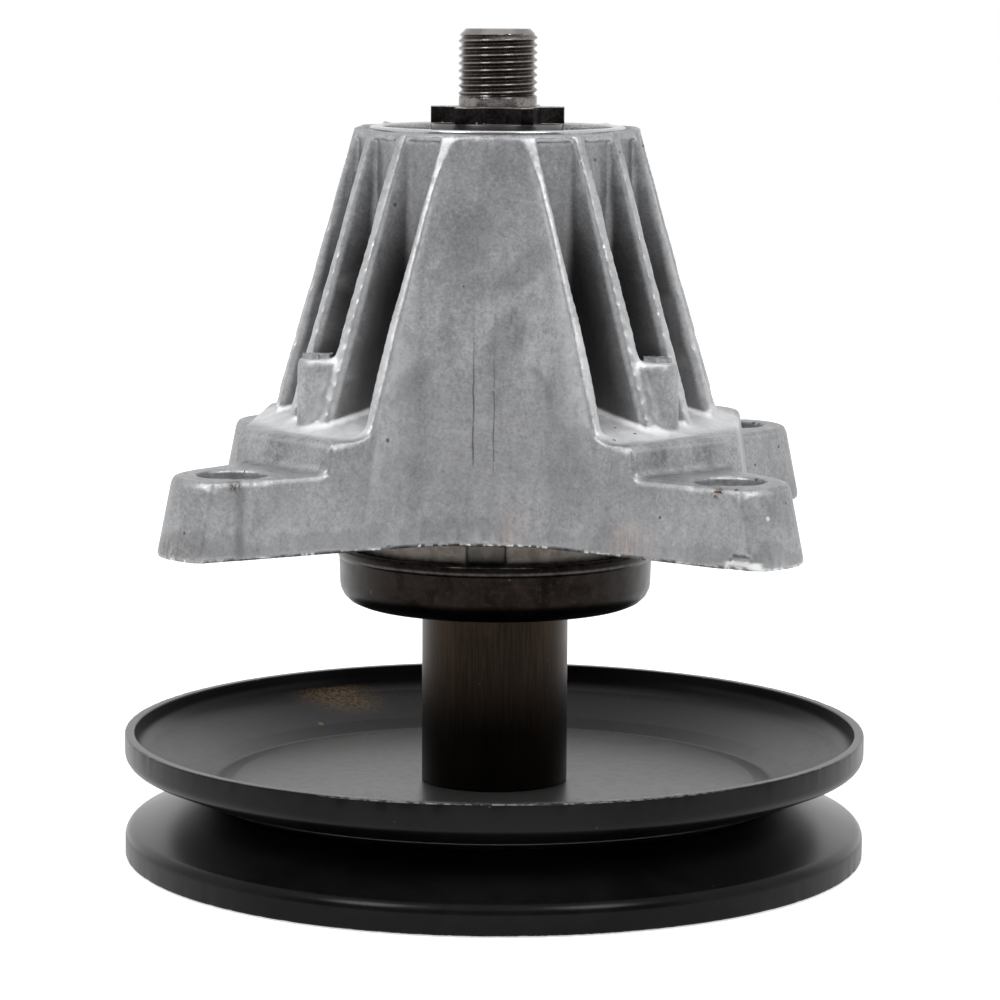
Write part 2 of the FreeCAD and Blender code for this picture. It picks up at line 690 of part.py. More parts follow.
# Ears with their arms, the raised shelf, the sloping pocket floor and the posts
ear = "(Sizes.ear_spacing / 2)"
ear_draft = "atan((Sizes.ear_foot_radius - Sizes.ear_top_radius) / Sizes.ear_height)"
ear_round = solid("Part::Cone", "ear_round", {
    "Radius1": "Sizes.ear_foot_radius",
    "Radius2": "Sizes.ear_top_radius",
    "Height": "Sizes.ear_height",
}, {"x": ear, "y": "-%s" % ear, "z": MOUNT_Z})
arm_side_x = "(%s + Sizes.ear_foot_radius * cos(Sizes.wall_angle * 1 deg))" % ear
arm_side_y = "(%s - Sizes.ear_foot_radius * sin(Sizes.wall_angle * 1 deg))" % ear
arm_foot_y = "(%s - (%s - Sizes.wing_side) / tan(Sizes.wall_angle * 1 deg))" % (arm_side_y, arm_side_x)
arm_overlap = "(Sizes.middle_bore / 3)"
ear_arm = tapered("ear_arm", MOUNT_Z, [
    ("-%s" % arm_overlap, arm_overlap),
    ("Sizes.wing_side", arm_overlap),
    ("Sizes.wing_side", "-%s" % arm_foot_y),
    (arm_side_x, "-%s" % arm_side_y),
    (ear, "-%s - Sizes.ear_foot_radius" % ear),
    ("-%s" % arm_overlap, "-%s" % ear),
], "Sizes.ear_height", ear_draft)
post = solid("Part::Cone", "ejector_post", {
    "Radius1": "Sizes.post_dia / 2",
    "Radius2": "Sizes.post_top_dia / 2",
    "Height": "Sizes.post_height + Sizes.overlap",
}, {"x": "Sizes.post_x", "y": "-Sizes.post_y", "z": "%s - Sizes.overlap" % SHELF_TOP})
wing_quarter = fused("wing_quarter", [ear_round, ear_arm, post])
wing_quarter_left = mirrored("wing_quarter_left", wing_quarter, (1, 0, 0))
wing_half = fused("wing_half", [wing_quarter, wing_quarter_left])
wing_half_back = mirrored("wing_half_back", wing_half, (0, 1, 0))
shelf_draft = "Sizes.draft_angle"
shelf_foot = "(%s - Sizes.ear_height / 2)" % EAR_TOP
shelf_grow = "((%s - %s) * tan(Sizes.draft_angle * 1 deg))" % (SHELF_TOP, shelf_foot)
shelf_x = "(Sizes.shelf_side + %s)" % shelf_grow
step_away = "(%s * sqrt(2) - Sizes.ear_step)" % ear
step_grow = "((%s - %s) * tan(Sizes.draft_angle * 1 deg))" % (EAR_TOP, shelf_foot)
shelf_diagonal = "((%s + %s) * sqrt(2))" % (step_away, step_grow)
shelf_y = "(%s - %s)" % (shelf_diagonal, shelf_x)
shelf_front_x = "(Sizes.panel_width / 4)"
shelf_front_y = "(%s - %s)" % (shelf_diagonal, shelf_front_x)
shelf = tapered("shelf", shelf_foot, [
    (shelf_x, "-%s" % shelf_y),
    (shelf_x, shelf_y),
    (shelf_front_x, shelf_front_y),
    ("-%s" % shelf_front_x, shelf_front_y),
    ("-%s" % shelf_x, shelf_y),
    ("-%s" % shelf_x, "-%s" % shelf_y),
    ("-%s" % shelf_front_x, "-%s" % shelf_front_y),
    (shelf_front_x, "-%s" % shelf_front_y),
], "%s - %s" % (SHELF_TOP, shelf_foot), shelf_draft)
pocket_floor = solid("Part::Cone", "pocket_floor", {
    "Radius1": "Sizes.shelf_side - Sizes.floor_setback",
    "Radius2": "Sizes.tube_top_dia / 2 - Sizes.overlap",
    "Height": "Sizes.floor_rise",
}, {"z": SHELF_TOP})
casting_blocks = fused("casting_blocks", [wing_half, wing_half_back, shelf, pocket_floor, fin_set])
casting = common("casting", casting_blocks, outer_form)

# Tube, pilot boss and bearing seat ring
tube = solid("Part::Cone", "tube", {
    "Radius1": "Sizes.tube_foot_dia / 2",
    "Radius2": "Sizes.tube_top_dia / 2",
    "Height": "Sizes.housing_height",
}, {"z": MOUNT_Z})
top_rim = solid("Part::Cylinder", "top_rim", {
    "Radius": "Sizes.fin_cone_top_dia / 2",
    "Height": "Sizes.top_rim_height",
}, {"z": "%s - Sizes.top_rim_height" % HOUSING_TOP})
seat_ring = solid("Part::Cylinder", "seat_ring", {
    "Radius": "Sizes.seat_ring_dia / 2",
    "Height": "Sizes.seat_ring_height + Sizes.overlap",
}, {"z": "%s - Sizes.overlap" % HOUSING_TOP})
boss_foot = PULLEY_BEARING_Z
boss_blank = new_body("pilot_boss_blank")
turned(boss_blank, "pilot_boss_turning", [
    ("0", boss_foot),
    ("Sizes.boss_dia / 2 - Sizes.boss_chamfer", boss_foot),
    ("Sizes.boss_dia / 2", "%s + Sizes.boss_chamfer" % boss_foot),
    ("Sizes.boss_dia / 2", "%s + Sizes.overlap" % MOUNT_Z),
    ("0", "%s + Sizes.overlap" % MOUNT_Z),
])
notch = solid("Part::Box", "pilot_boss_notch", {
    "Length": "Sizes.boss_notch_width",
    "Width": "Sizes.boss_notch_depth * 3",
    "Height": "%s - %s" % (MOUNT_Z, boss_foot),
}, {
    "x": "-Sizes.boss_notch_width / 2",
    "y": "-Sizes.boss_dia / 2 - 2 * Sizes.boss_notch_depth",
    "z": boss_foot,
})
notch_back = mirrored("pilot_boss_notch_back", notch, (0, 1, 0))
boss = cut("pilot_boss", boss_blank, fused("pilot_boss_notches", [notch, notch_back]))
whole = fused("casting_with_tube", [casting, tube, top_rim, seat_ring, boss])

# Bearing seats, middle bore, bolt holes and the hollows under the wings
drills = [
    solid("Part::Cylinder", "pulley_bearing_seat", {
        "Radius": "Sizes.bearing_dia / 2 + Sizes.slip_gap",
        "Height": "Sizes.bearing_width + Sizes.drill_run",
    }, {"z": "%s - Sizes.drill_run" % PULLEY_BEARING_Z}),
    solid("Part::Cylinder", "middle_bore_drill", {
        "Radius": "Sizes.middle_bore / 2",
        "Height": "%s - %s" % (BLADE_BEARING_Z, BEARING_SPACER_Z),
    }, {"z": BEARING_SPACER_Z}),
    solid("Part::Cylinder", "blade_bearing_seat", {
        "Radius": "Sizes.bearing_dia / 2 + Sizes.slip_gap",
        "Height": "Sizes.bearing_width + Sizes.drill_run",
    }, {"z": BLADE_BEARING_Z}),
]
for side_x in ("", "-"):
    for side_y in ("", "-"):
        spot = {"x": side_x + ear, "y": side_y + ear}
        drills.append(solid("Part::Cylinder", "ear_hole", {
            "Radius": "Sizes.ear_hole_dia / 2",
            "Height": "Sizes.ear_height + 2 * Sizes.overlap",
        }, dict(spot, z="%s - Sizes.overlap" % MOUNT_Z)))
        drills.append(solid("Part::Cylinder", "ear_seat", {
            "Radius": "Sizes.ear_seat_dia / 2",
            "Height": "Sizes.ear_seat_depth + Sizes.overlap",
        }, dict(spot, z="%s - Sizes.ear_seat_depth" % EAR_TOP)))
for side_x in ("", "-"):
    inner_x = side_x + "Sizes.wing_core_inner"
    outer_x = side_x + "Sizes.wing_core_outer"
    drills.append(tapered("wing_core", MOUNT_Z, [
        (inner_x, "-Sizes.wing_core_half_length"),
        (outer_x, "-Sizes.wing_core_half_length"),
        (outer_x, "Sizes.wing_core_half_length"),
        (inner_x, "Sizes.wing_core_half_length"),
    ], "Sizes.wing_core_depth", "Sizes.wing_core_draft"))
drilled = cut("casting_drilled", whole, fused("housing_cuts", drills))

# Rounded edges of the ears and of the shelf
ear_top = number(EAR_TOP)
shelf_top = number(SHELF_TOP)
mount_z = number(MOUNT_Z)
step_line = number("%s * sqrt(2)" % step_away)


def lies_at(edge, height):
    return all(abs(vertex.Point.z - height) < 0.001 for vertex in edge.Vertexes)


def ear_edge(edge):
    middle = edge.CenterOfMass
    if lies_at(edge, ear_top):
        seat = len(edge.Vertexes) == 1
        return not seat and abs(middle.x) + abs(middle.y) > step_line + 0.3
    heights = [vertex.Point.z for vertex in edge.Vertexes]
    upright = abs(min(heights) - mount_z) < 0.001 and abs(max(heights) - ear_top) < 0.001
    front = abs(middle.x) > number(ear) and abs(middle.y) > number("%s + Sizes.ear_top_radius / 2" % ear)
    return upright and front


ears_rounded = rounded("casting_ears_rounded", drilled, "Sizes.ear_edge_radius", ear_edge)
housing = rounded("spindle_housing", ears_rounded, "Sizes.shelf_edge_radius",
                  lambda edge: lies_at(edge, shelf_top) and edge.Curve.TypeId == "Part::GeomLine")
housing.Label = "spindle_housing"
doc.recompute()

NODES = [
    "spindle_housing",
    "blade_bearing_outer_race",
    "blade_bearing_outer_seal",
    "blade_bearing_inner_seal",
    "pulley_bearing_outer_race",
    "pulley_bearing_outer_seal",
    "pulley_bearing_inner_seal",
    "blade_bearing_balls",
    "blade_bearing_cage",
    "pulley_bearing_balls",
    "pulley_bearing_cage",
    "spindle_shaft",
    "blade_bearing_inner_race",
    "pulley_bearing_inner_race",
    "bearing_spacer",
    "dust_cap",
    "pulley_spacer",
    "pulley_upper_sheave",
    "pulley_lower_sheave",
    "pulley_nut",
]

for item in doc.Objects:
    if "Invalid" in item.State or "Error" in item.State:
        raise RuntimeError("%s did not build: %s" % (item.Name, item.State))

os.makedirs("parts", exist_ok=True)
for node in NODES:
    shape = doc.getObjectsByLabel(node)[0].Shape
    if shape.isNull() or not shape.isValid():
        raise RuntimeError("%s has no valid shape" % node)
    shape.exportStep("parts/%s.step" % node)
    print(node, len(shape.Solids), round(shape.Volume, 1), shape.BoundBox)
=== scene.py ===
import json
import math

import bmesh
import bpy
import numpy as np
from mathutils import Matrix, Vector, noise

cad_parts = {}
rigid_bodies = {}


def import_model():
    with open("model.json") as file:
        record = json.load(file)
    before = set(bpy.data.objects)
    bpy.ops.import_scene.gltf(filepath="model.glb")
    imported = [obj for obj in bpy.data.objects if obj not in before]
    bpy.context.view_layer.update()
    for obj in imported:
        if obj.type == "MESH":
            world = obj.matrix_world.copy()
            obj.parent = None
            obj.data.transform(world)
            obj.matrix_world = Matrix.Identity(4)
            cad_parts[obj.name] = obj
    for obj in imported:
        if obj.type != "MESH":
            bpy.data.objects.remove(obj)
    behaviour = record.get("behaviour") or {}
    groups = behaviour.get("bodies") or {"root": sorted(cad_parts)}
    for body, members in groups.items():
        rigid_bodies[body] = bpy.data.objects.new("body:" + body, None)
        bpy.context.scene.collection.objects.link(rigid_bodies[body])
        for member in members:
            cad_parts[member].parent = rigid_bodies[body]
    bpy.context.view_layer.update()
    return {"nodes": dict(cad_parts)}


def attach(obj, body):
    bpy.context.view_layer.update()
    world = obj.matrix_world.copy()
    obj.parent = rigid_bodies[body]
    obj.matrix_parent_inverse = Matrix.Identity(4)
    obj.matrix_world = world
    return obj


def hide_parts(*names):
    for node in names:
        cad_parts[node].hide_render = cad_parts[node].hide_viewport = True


for old in list(bpy.data.objects):
    bpy.data.objects.remove(old, do_unlink=True)
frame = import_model()
nodes = frame["nodes"]
scene = bpy.context.scene

# Lengths are written in millimetres and turned to metres where a mesh is made
MM = 0.001
PER_METRE = 1000
SHARP_ANGLE = 32
ARC_STEPS = 5

# Heights along the axis
PULLEY_SEAM = 12.75
WEB_TOP = 14.75
CAP_FOOT = 52.0
MOUNT_FACE = 68.0
SHELF_TOP = 90.0
POST_TOP = 104.5
RING_FOOT = 147.2
HOUSING_TOP = 148.7
RING_TOP = 149.4
STAR_FOOT = 150.0
STAR_TOP = 153.4
SHAFT_TOP = 168.99

# The housing's fins end on a cone, and its front and back walls lie at an angle
CONE_FOOT_RADIUS = 46.1
CONE_TOP_RADIUS = 29.2
WALL_OFFSET = 27.4
WALL_ANGLE = math.radians(33.4)
WALL_SLOPE = math.tan(WALL_ANGLE)
WALL_LEAN = math.cos(WALL_ANGLE)
WALL_DRAFT = math.tan(math.radians(2.8))
EAR_PLACE = 48.0
POST_X = 33.6
POST_Y = 27.0


# Meshes
def placed(name, data):
    item = bpy.data.objects.new(name, data)
    scene.collection.objects.link(item)
    return item


def new_piece(name, mesh, body, stands_for=()):
    piece = placed(name, mesh)
    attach(piece, body)
    if stands_for:
        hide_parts(*stands_for)
    return piece


def shade(mesh, angle=SHARP_ANGLE):
    mesh.polygons.foreach_set("use_smooth", [True] * len(mesh.polygons))
    mesh.set_sharp_from_angle(angle=math.radians(angle))
    mesh.update()


def mesh_from(name, points, faces):
    mesh = bpy.data.meshes.new(name)
    mesh.from_pydata([(x * MM, y * MM, z * MM) for x, y, z in points], [], faces)
    mesh.update()
    return mesh


def reworked(mesh, *steps):
    edit = bmesh.new()
    edit.from_mesh(mesh)
    for step in steps:
        step(edit)
    edit.to_mesh(mesh)
    edit.free()


def welded(reach):
    # Step that joins points closer than a reach in metres
    return lambda edit: bmesh.ops.remove_doubles(edit, verts=edit.verts, dist=reach)


def faced_out(edit):
    bmesh.ops.recalc_face_normals(edit, faces=edit.faces)


def eased(corners):
    # Outline of (radius, height, rounding) corners with each rounding drawn as an arc
    outline = []
    count = len(corners)
    for i, (r, z, rounding) in enumerate(corners):
        here = Vector((r, z))
        if rounding <= 0:
            outline.append(here)
            continue
        back = (Vector(corners[i - 1][:2]) - here).normalized()
        ahead = (Vector(corners[(i + 1) % count][:2]) - here).normalized()
        half = back.angle(ahead) / 2
        inward = (back + ahead).normalized()
        centre = here + inward * (rounding / math.sin(half))
        first = here + back * (rounding / math.tan(half)) - centre
        last = here + ahead * (rounding / math.tan(half)) - centre
        for k in range(ARC_STEPS + 1):
            spoke = first.lerp(last, k / ARC_STEPS).normalized()
            outline.append(centre + spoke * rounding)
    return outline


def lathe(name, corners, steps=192, wobble=None):
    # Closed outline turned about the spindle axis
    outline = eased(corners)
    count = len(outline)
    points = []
    for j in range(steps):
        turn = 2 * math.pi * j / steps
        for r, z in outline:
            if wobble:
                r, z = wobble(r, z, turn)
            points.append((r * math.cos(turn), r * math.sin(turn), z))
    faces = []
    for j in range(steps):
        ahead = (j + 1) % steps
        for i in range(count):
            up = (i + 1) % count
            faces.append((j * count + i, ahead * count + i, ahead * count + up, j * count + up))
    mesh = mesh_from(name, points, faces)
    reworked(mesh, welded(1e-7), faced_out)
    shade(mesh)
    return mesh


def cad_copy(node, name):
    # Mesh of a solid with its triangles joined up again
    mesh = nodes[node].data.copy()
    mesh.name = name
    mesh.materials.clear()
    reworked(mesh, welded(2e-6))
    return mesh


def with_modifiers(mesh, name, settings):
    holder = placed(name + "_holder", mesh)
    for kind, values in settings:
        modifier = holder.modifiers.new(kind.lower(), kind)
        for key, value in values.items():
            setattr(modifier, key, value)
    view = bpy.context.evaluated_depsgraph_get()
    view.update()
    made = bpy.data.meshes.new_from_object(holder.evaluated_get(view))
    made.name = name
    bpy.data.objects.remove(holder, do_unlink=True)
    return made


def bevelled(node, name, width):
    # Copy of a solid with small bevels along its sharp edges
    def flattened(edit):
        bmesh.ops.dissolve_limit(edit, angle_limit=math.radians(0.6), verts=edit.verts, edges=edit.edges)

    mesh = cad_copy(node, name + "_plain")
    reworked(mesh, flattened)
    made = with_modifiers(mesh, name, [("BEVEL", {
        "width": width * MM,
        "segments": 2,
        "limit_method": "ANGLE",
        "angle_limit": math.radians(SHARP_ANGLE),
        "use_clamp_overlap": True,
    })])
    shade(made)
    return made


def points_of(mesh, what="co", scale=PER_METRE):
    flat = np.zeros(len(mesh.vertices) * 3, np.float32)
    mesh.vertices.foreach_get(what, flat)
    return flat.reshape(-1, 3).astype(float) * scale


def mark(mesh, name, values):
    layer = mesh.attributes.new(name, "FLOAT", "POINT")
    layer.data.foreach_set("value", np.asarray(values, np.float32))


def ramp(values, low, high):
    share = np.clip((values - low) / (high - low), 0, 1)
    return share * share * (3 - 2 * share)


# Shaders
def feed(tree, socket, value):
    # The value is either another node's output or a number or colour
    if isinstance(value, bpy.types.NodeSocket):
        tree.links.new(value, socket)
    else:
        socket.default_value = value


def new_node(tree, kind, **inputs):
    node = tree.nodes.new("ShaderNode" + kind)
    for name, value in inputs.items():
        feed(tree, node.inputs[name], value)
    return node


class Finish:
    # One surface's finish; its places are millimetres in the part's frame
    SOCKETS = {
        "colour": "Base Color",
        "metal": "Metallic",
        "rough": "Roughness",
        "specular": "Specular IOR Level",
    }

    def __init__(self, name):
        self.material = bpy.data.materials.new(name)
        self.material.use_nodes = True
        self.tree = self.material.node_tree
        self.shader = self.tree.nodes["Principled BSDF"]
        place = self.node("TexCoord")
        scaled = self.node("VectorMath")
        scaled.operation = "SCALE"
        self.feed(scaled.inputs["Scale"], PER_METRE)
        self.feed(scaled.inputs[0], place.outputs["Object"])
        self.place = scaled.outputs[0]
        self.x, self.y, self.z = self.node("SeparateXYZ", Vector=self.place).outputs
        self.radius = self.math("SQRT", self.math("ADD", self.math("MULTIPLY", self.x, self.x),
                                                  self.math("MULTIPLY", self.y, self.y)))

    def node(self, kind, **inputs):
        return new_node(self.tree, kind, **inputs)

    def feed(self, socket, value):
        feed(self.tree, socket, value)

    def math(self, operation, a, b=0.0):
        node = self.node("Math")
        node.operation = operation
        self.feed(node.inputs[0], a)
        self.feed(node.inputs[1], b)
        return node.outputs[0]

    def part(self, share, amount):
        return self.math("MULTIPLY", share, amount)

    def vector(self, operation, a, b, output=0):
        node = self.node("VectorMath")
        node.operation = operation
        self.feed(node.inputs[0], a)
        self.feed(node.inputs[1], b)
        return node.outputs[output]

    def stretched(self, x, y, z):
        return self.vector("MULTIPLY", self.place, (x, y, z))

    def turned(self, across, along):
        # Coordinates that change with the radius and the height only, for marks of turning
        node = self.node("CombineXYZ", X=self.part(self.radius, across), Y=self.part(self.z, along))
        return node.outputs[0]

    def noise(self, scale, detail, rough, twist=0.0, at=None):
        node = self.node("TexNoise", Vector=at or self.place, Scale=scale, Detail=detail,
                         Roughness=rough, Distortion=twist)
        return node.outputs[0]

    def cells(self, scale):
        return self.node("TexVoronoi", Vector=self.place, Scale=scale).outputs["Distance"]

    def specks(self, scale, size, share):
        # Small round spots in some of the cells of a loose grid
        node = self.node("TexVoronoi", Vector=self.place, Scale=scale)
        split = self.node("SeparateColor", Color=node.outputs["Color"])
        chosen = self.math("LESS_THAN", split.outputs[0], share)
        reach = self.part(self.math("ADD", split.outputs[1], 0.35), size)
        inside = self.math("LESS_THAN", node.outputs["Distance"], reach)
        return self.both(chosen, inside)

    def near(self, point, reach, soft, squeeze=(1.0, 1.0, 1.0)):
        # Share that is 1 near a point and fades out round it
        away = self.vector("MULTIPLY", self.vector("SUBTRACT", self.place, point), squeeze)
        return self.drop(self.length(away), reach * (1 - soft), reach * (1 + soft))

    def length(self, away):
        return self.vector("LENGTH", away, (0, 0, 0), "Value")

    def slanted(self, point, angle, length, width):
        # Soft smudge on a front face: a long spot that rises to the right by an angle in degrees
        away = self.vector("SUBTRACT", self.place, point)
        across = (math.cos(math.radians(angle)), 0.0, math.sin(math.radians(angle)))
        along = self.vector("DOT_PRODUCT", away, across, "Value")
        upright = (-across[2], 0.0, across[0])
        aside = self.vector("DOT_PRODUCT", away, upright, "Value")
        far = self.math("ADD", self.math("POWER", self.math("DIVIDE", along, length), 2.0),
                        self.math("POWER", self.math("DIVIDE", aside, width), 2.0))
        return self.both(self.drop(far, 0.15, 1.2), self.step(self.y, -24.0, -26.0))

    def facing_up(self):
        # Share that is 1 on faces that look up
        normal = self.node("NewGeometry").outputs["Normal"]
        return self.step(self.node("SeparateXYZ", Vector=normal).outputs[2], 0.2, 0.6)

    def attribute(self, name):
        node = self.node("Attribute")
        node.attribute_name = name
        return node.outputs["Fac"]

    def step(self, value, low, high, to_low=0.0, to_high=1.0):
        node = self.node("MapRange")
        node.interpolation_type = "SMOOTHSTEP"
        for socket, item in zip(node.inputs, (value, low, high, to_low, to_high)):
            self.feed(socket, item)
        return node.outputs[0]

    def drop(self, value, low, high):
        return self.step(value, low, high, 1.0, 0.0)

    def band(self, value, low, high, soft):
        # Share that is 1 between two values, with soft ends
        rising = self.step(value, low - soft, low + soft)
        falling = self.drop(value, high - soft, high + soft)
        return self.both(rising, falling)

    def both(self, *shares):
        total = shares[0]
        for share in shares[1:]:
            total = self.math("MULTIPLY", total, share)
        return total

    def either(self, *shares):
        total = shares[0]
        for share in shares[1:]:
            total = self.math("MAXIMUM", total, share)
        return total

    def mix(self, share, a, b):
        node = self.node("Mix")
        node.data_type = "RGBA"
        self.feed(node.inputs[0], share)
        for socket, colour in ((node.inputs[6], a), (node.inputs[7], b)):
            if isinstance(colour, tuple):
                colour = colour + (1.0,)
            self.feed(socket, colour)
        return node.outputs[2]

    def over(self, colour, share, amount, new):
        # Colour with some of a new one laid over it
        return self.mix(self.part(share, amount), colour, new)

    def level(self, share, low, high):
        # Number that goes from low to high with the share
        return self.math("ADD", self.part(share, high - low), low)

    def blend(self, share, a, b):
        # The same between two numbers of which either may vary
        keep = self.part(self.math("SUBTRACT", 1.0, share), a)
        return self.math("ADD", keep, self.part(share, b))

    def bump(self, layers):
        # Layers of (height, depth in millimetres) one on top of the other
        normal = None
        for height, depth in layers:
            node = self.node("Bump", Strength=1.0, Distance=depth * MM, Height=height)
            if normal:
                self.feed(node.inputs["Normal"], normal)
            normal = node.outputs[0]
        self.feed(self.shader.inputs["Normal"], normal)

    def set(self, **values):
        for key, value in values.items():
            if isinstance(value, tuple):
                value = value + (1.0,)
            self.feed(self.shader.inputs[self.SOCKETS[key]], value)
        return self.material


# Smears on the front panel, each with its place, angle in degrees, length and width
SMEARS = (
    ((-14.7, -35.2, 100.4), 45.0, 7.5, 2.8),
    ((7.8, -31.0, 123.0), 42.0, 9.0, 3.2),
    ((3.6, -34.0, 108.5), 70.0, 8.0, 4.0),
    ((-3.0, -31.0, 128.5), 80.0, 8.0, 5.0),
)

# Dark patches on the shelves' edges, each with its place and reach
PATCHES = (
    ((-41.5, -33.6, 86.7), 3.0),
    ((34.5, -40.3, 87.6), 3.0),
    ((43.2, -31.8, 87.2), 2.6),
)

# Brown stains along the lower edge, each with its place, reach, softness and squeeze
STAINS = (
    ((29.5, -46.5, 70.8), 5.0, 0.6, (1, 1, 1.4)),
    ((6.0, -33.4, 71.2), 3.0, 0.6, (1, 1, 0.8)),
)

# Rust on the front ears' upper edges, each with its place, reach and softness
RUST = (
    ((45.8, -56.7, 82.8), 1.3, 0.5),
    ((-46.1, -57.0, 82.5), 1.2, 0.5),
)

# Hairlines down the front panel, each with its two sides and the heights over which its ends fade
HAIRLINES = (
    (-2.58, -2.26, (121.0, 96.0), (83.0, 86.0)),
    (1.52, 1.74, (109.0, 98.0), (81.0, 84.0)),
)


def cast_skin(f, middle, flow, fine, rubbed):
    # Grey skin of the casting: clouds, mottle, smears, a damp foot and painted shade low on the sides
    broad = f.noise(0.04, 3, 0.5, 1.0)
    tone = f.math("ADD", f.part(broad, 0.36), f.math("ADD", f.part(middle, 0.26), f.part(flow, 0.38)))
    colour = f.mix(f.step(tone, 0.38, 0.62), (0.275, 0.28, 0.288), (0.415, 0.417, 0.425))
    smudge = f.step(f.noise(0.06, 5, 0.6, 1.5, at=f.stretched(1.0, 1.0, 0.7)), 0.55, 0.68)
    colour = f.over(colour, smudge, 0.42, (0.18, 0.185, 0.195))
    upper_part = f.step(f.z, 112.0, 146.0, 0.0, 0.42)
    colour = f.mix(upper_part, colour, (0.19, 0.195, 0.203))
    mottle = f.noise(0.5, 6, 0.8, 0.4)
    colour = f.mix(f.step(mottle, 0.5, 0.68, 0.0, 0.42), colour, (0.17, 0.172, 0.178))
    colour = f.mix(f.step(mottle, 0.5, 0.32, 0.0, 0.26), colour, (0.58, 0.582, 0.59))
    colour = f.mix(f.step(fine, 0.5, 0.66, 0.0, 0.46), colour, (0.17, 0.172, 0.178))
    colour = f.mix(f.step(fine, 0.5, 0.34, 0.0, 0.26), colour, (0.6, 0.602, 0.61))
    smears = f.either(*[f.slanted(*smear) for smear in SMEARS])
    smears = f.both(smears, f.step(rubbed, 0.35, 0.6, 0.55, 1.0))
    colour = f.over(colour, smears, 0.42, (0.13, 0.133, 0.14))
    patches = f.either(*[f.near(place, reach, 0.6) for place, reach in PATCHES])
    colour = f.mix(f.both(patches, f.step(rubbed, 0.4, 0.6, 0.1, 0.6)), colour, (0.1, 0.1, 0.105))
    # Painted shade: the skin is darker below the shelf top
    colour = f.mix(f.step(f.z, 80.0, 90.0, 0.2, 0.0), colour, (0.2, 0.202, 0.208))
    middle_part = f.both(f.band(f.z, 82.0, 101.0, 6.0), f.band(f.x, -26.0, 26.0, 8.0))
    colour = f.over(colour, middle_part, 0.26, (0.16, 0.162, 0.168))
    tide = f.level(f.noise(0.16, 4, 0.6, at=f.stretched(1.0, 1.0, 0.2)), -7.0, 7.0)
    low_water = f.math("ADD", f.z, tide)
    damp = f.drop(low_water, 71.6, 72.6)
    return f.over(colour, damp, 0.34, (0.17, 0.175, 0.185))


def cast_pockets(f, colour, middle, flow):
    # Painted shade in the pockets between the fins, darker towards their tops
    painted_pocket_shade = f.both(f.attribute("pocket"), f.step(middle, 0.35, 0.65, 0.94, 1.0))
    shade_darker_high = f.step(f.z, 98.0, 128.0)
    shade_colour = f.mix(shade_darker_high, (0.22, 0.22, 0.222), (0.065, 0.065, 0.066))
    shade_colour = f.mix(f.step(flow, 0.4, 0.65, 0.0, 0.3), shade_colour, (0.03, 0.03, 0.031))
    return f.over(colour, painted_pocket_shade, 0.96, shade_colour)


def panel_marks(f, colour, rubbed):
    # Two hairlines and a curved rub mark on the front panel
    front = f.drop(f.y, -29.0, -28.0)
    sway = f.level(f.noise(0.12, 3, 0.5, at=f.stretched(0.0, 0.0, 1.0)), -0.7, 0.7)
    swayed = f.math("ADD", f.x, sway)
    lines = []
    for left, right, top, bottom in HAIRLINES:
        lines.append(f.both(f.band(swayed, left, right, 0.14), f.step(f.z, *top), f.step(f.z, *bottom)))
    hairs = f.both(f.either(*lines), front, f.step(rubbed, 0.3, 0.5))
    colour = f.over(colour, hairs, 0.75, (0.06, 0.06, 0.063))
    off_hub = f.vector("MULTIPLY", f.vector("SUBTRACT", f.place, (5.0, 0.0, 97.0)), (1, 0, 1))
    arc = f.both(f.band(f.length(off_hub), 6.9, 8.1, 0.6), f.step(f.x, 7.5, 9.5),
                 f.step(f.z, 96.0, 98.0), front)
    return f.over(colour, arc, 0.45, (0.17, 0.17, 0.178))


def ear_marks(f, colour, middle, rubbed):
    # Stains and chips along the lower edge and on two ears, and a band of painted shade beside the front
    # left ear's corner
    streak = f.step(f.noise(1.1, 4, 0.6, at=f.stretched(1.0, 1.0, 0.09)), 0.4, 0.62)
    stain = f.both(f.either(*[f.near(*spot) for spot in STAINS]), streak)
    colour = f.over(colour, stain, 0.55, (0.44, 0.35, 0.31))
    speckled = f.step(f.noise(1.3, 4, 0.7), 0.46, 0.56)
    rust = f.both(f.either(*[f.near(*spot) for spot in RUST]), speckled)
    colour = f.mix(rust, colour, (0.075, 0.042, 0.024))
    corner = f.both(f.near((-57.0, -56.0, 69.5), 6.0, 0.6, (1, 1, 1.8)), speckled)
    colour = f.over(colour, corner, 0.45, (0.15, 0.11, 0.085))
    # Painted shade: a dark band beside the rounded corner on the front left ear's face
    ear_front = f.both(f.drop(f.y, -54.0, -52.0), f.band(f.z, 68.5, 82.8, 0.8))
    corner_shade = f.both(f.band(f.x, -46.3, -44.6, 0.7), ear_front,
                      f.step(middle, 0.35, 0.6, 0.5, 1.0))
    colour = f.over(colour, corner_shade, 0.55, (0.12, 0.122, 0.128))
    dot = f.near((55.5, -58.3, 77.9), 0.45, 0.3)
    chip = f.both(f.band(f.x, 47.6, 54.6, 0.6), f.drop(f.y, -56.0, -55.0),
                  f.band(f.z, 67.0, 69.7, 0.3))
    foot = f.both(f.band(f.z, 67.9, 68.6, 0.25), f.step(rubbed, 0.45, 0.6))
    fresh = f.either(dot, chip, foot)
    return f.over(colour, fresh, 0.8, (0.72, 0.72, 0.725))


def boss_skin(f, middle, flow):
    # Brown stain on the turned boss under the mounting face, darker at the notch
    boss_colour = f.mix(f.step(middle, 0.35, 0.65), (0.085, 0.072, 0.062), (0.15, 0.137, 0.126))
    notch = f.both(f.band(f.x, -4.0, 4.0, 0.1), f.step(f.y, -20.0, -22.0),
                   f.step(flow, 0.35, 0.6, 0.3, 0.7))
    return f.mix(notch, boss_colour, (0.05, 0.048, 0.047))


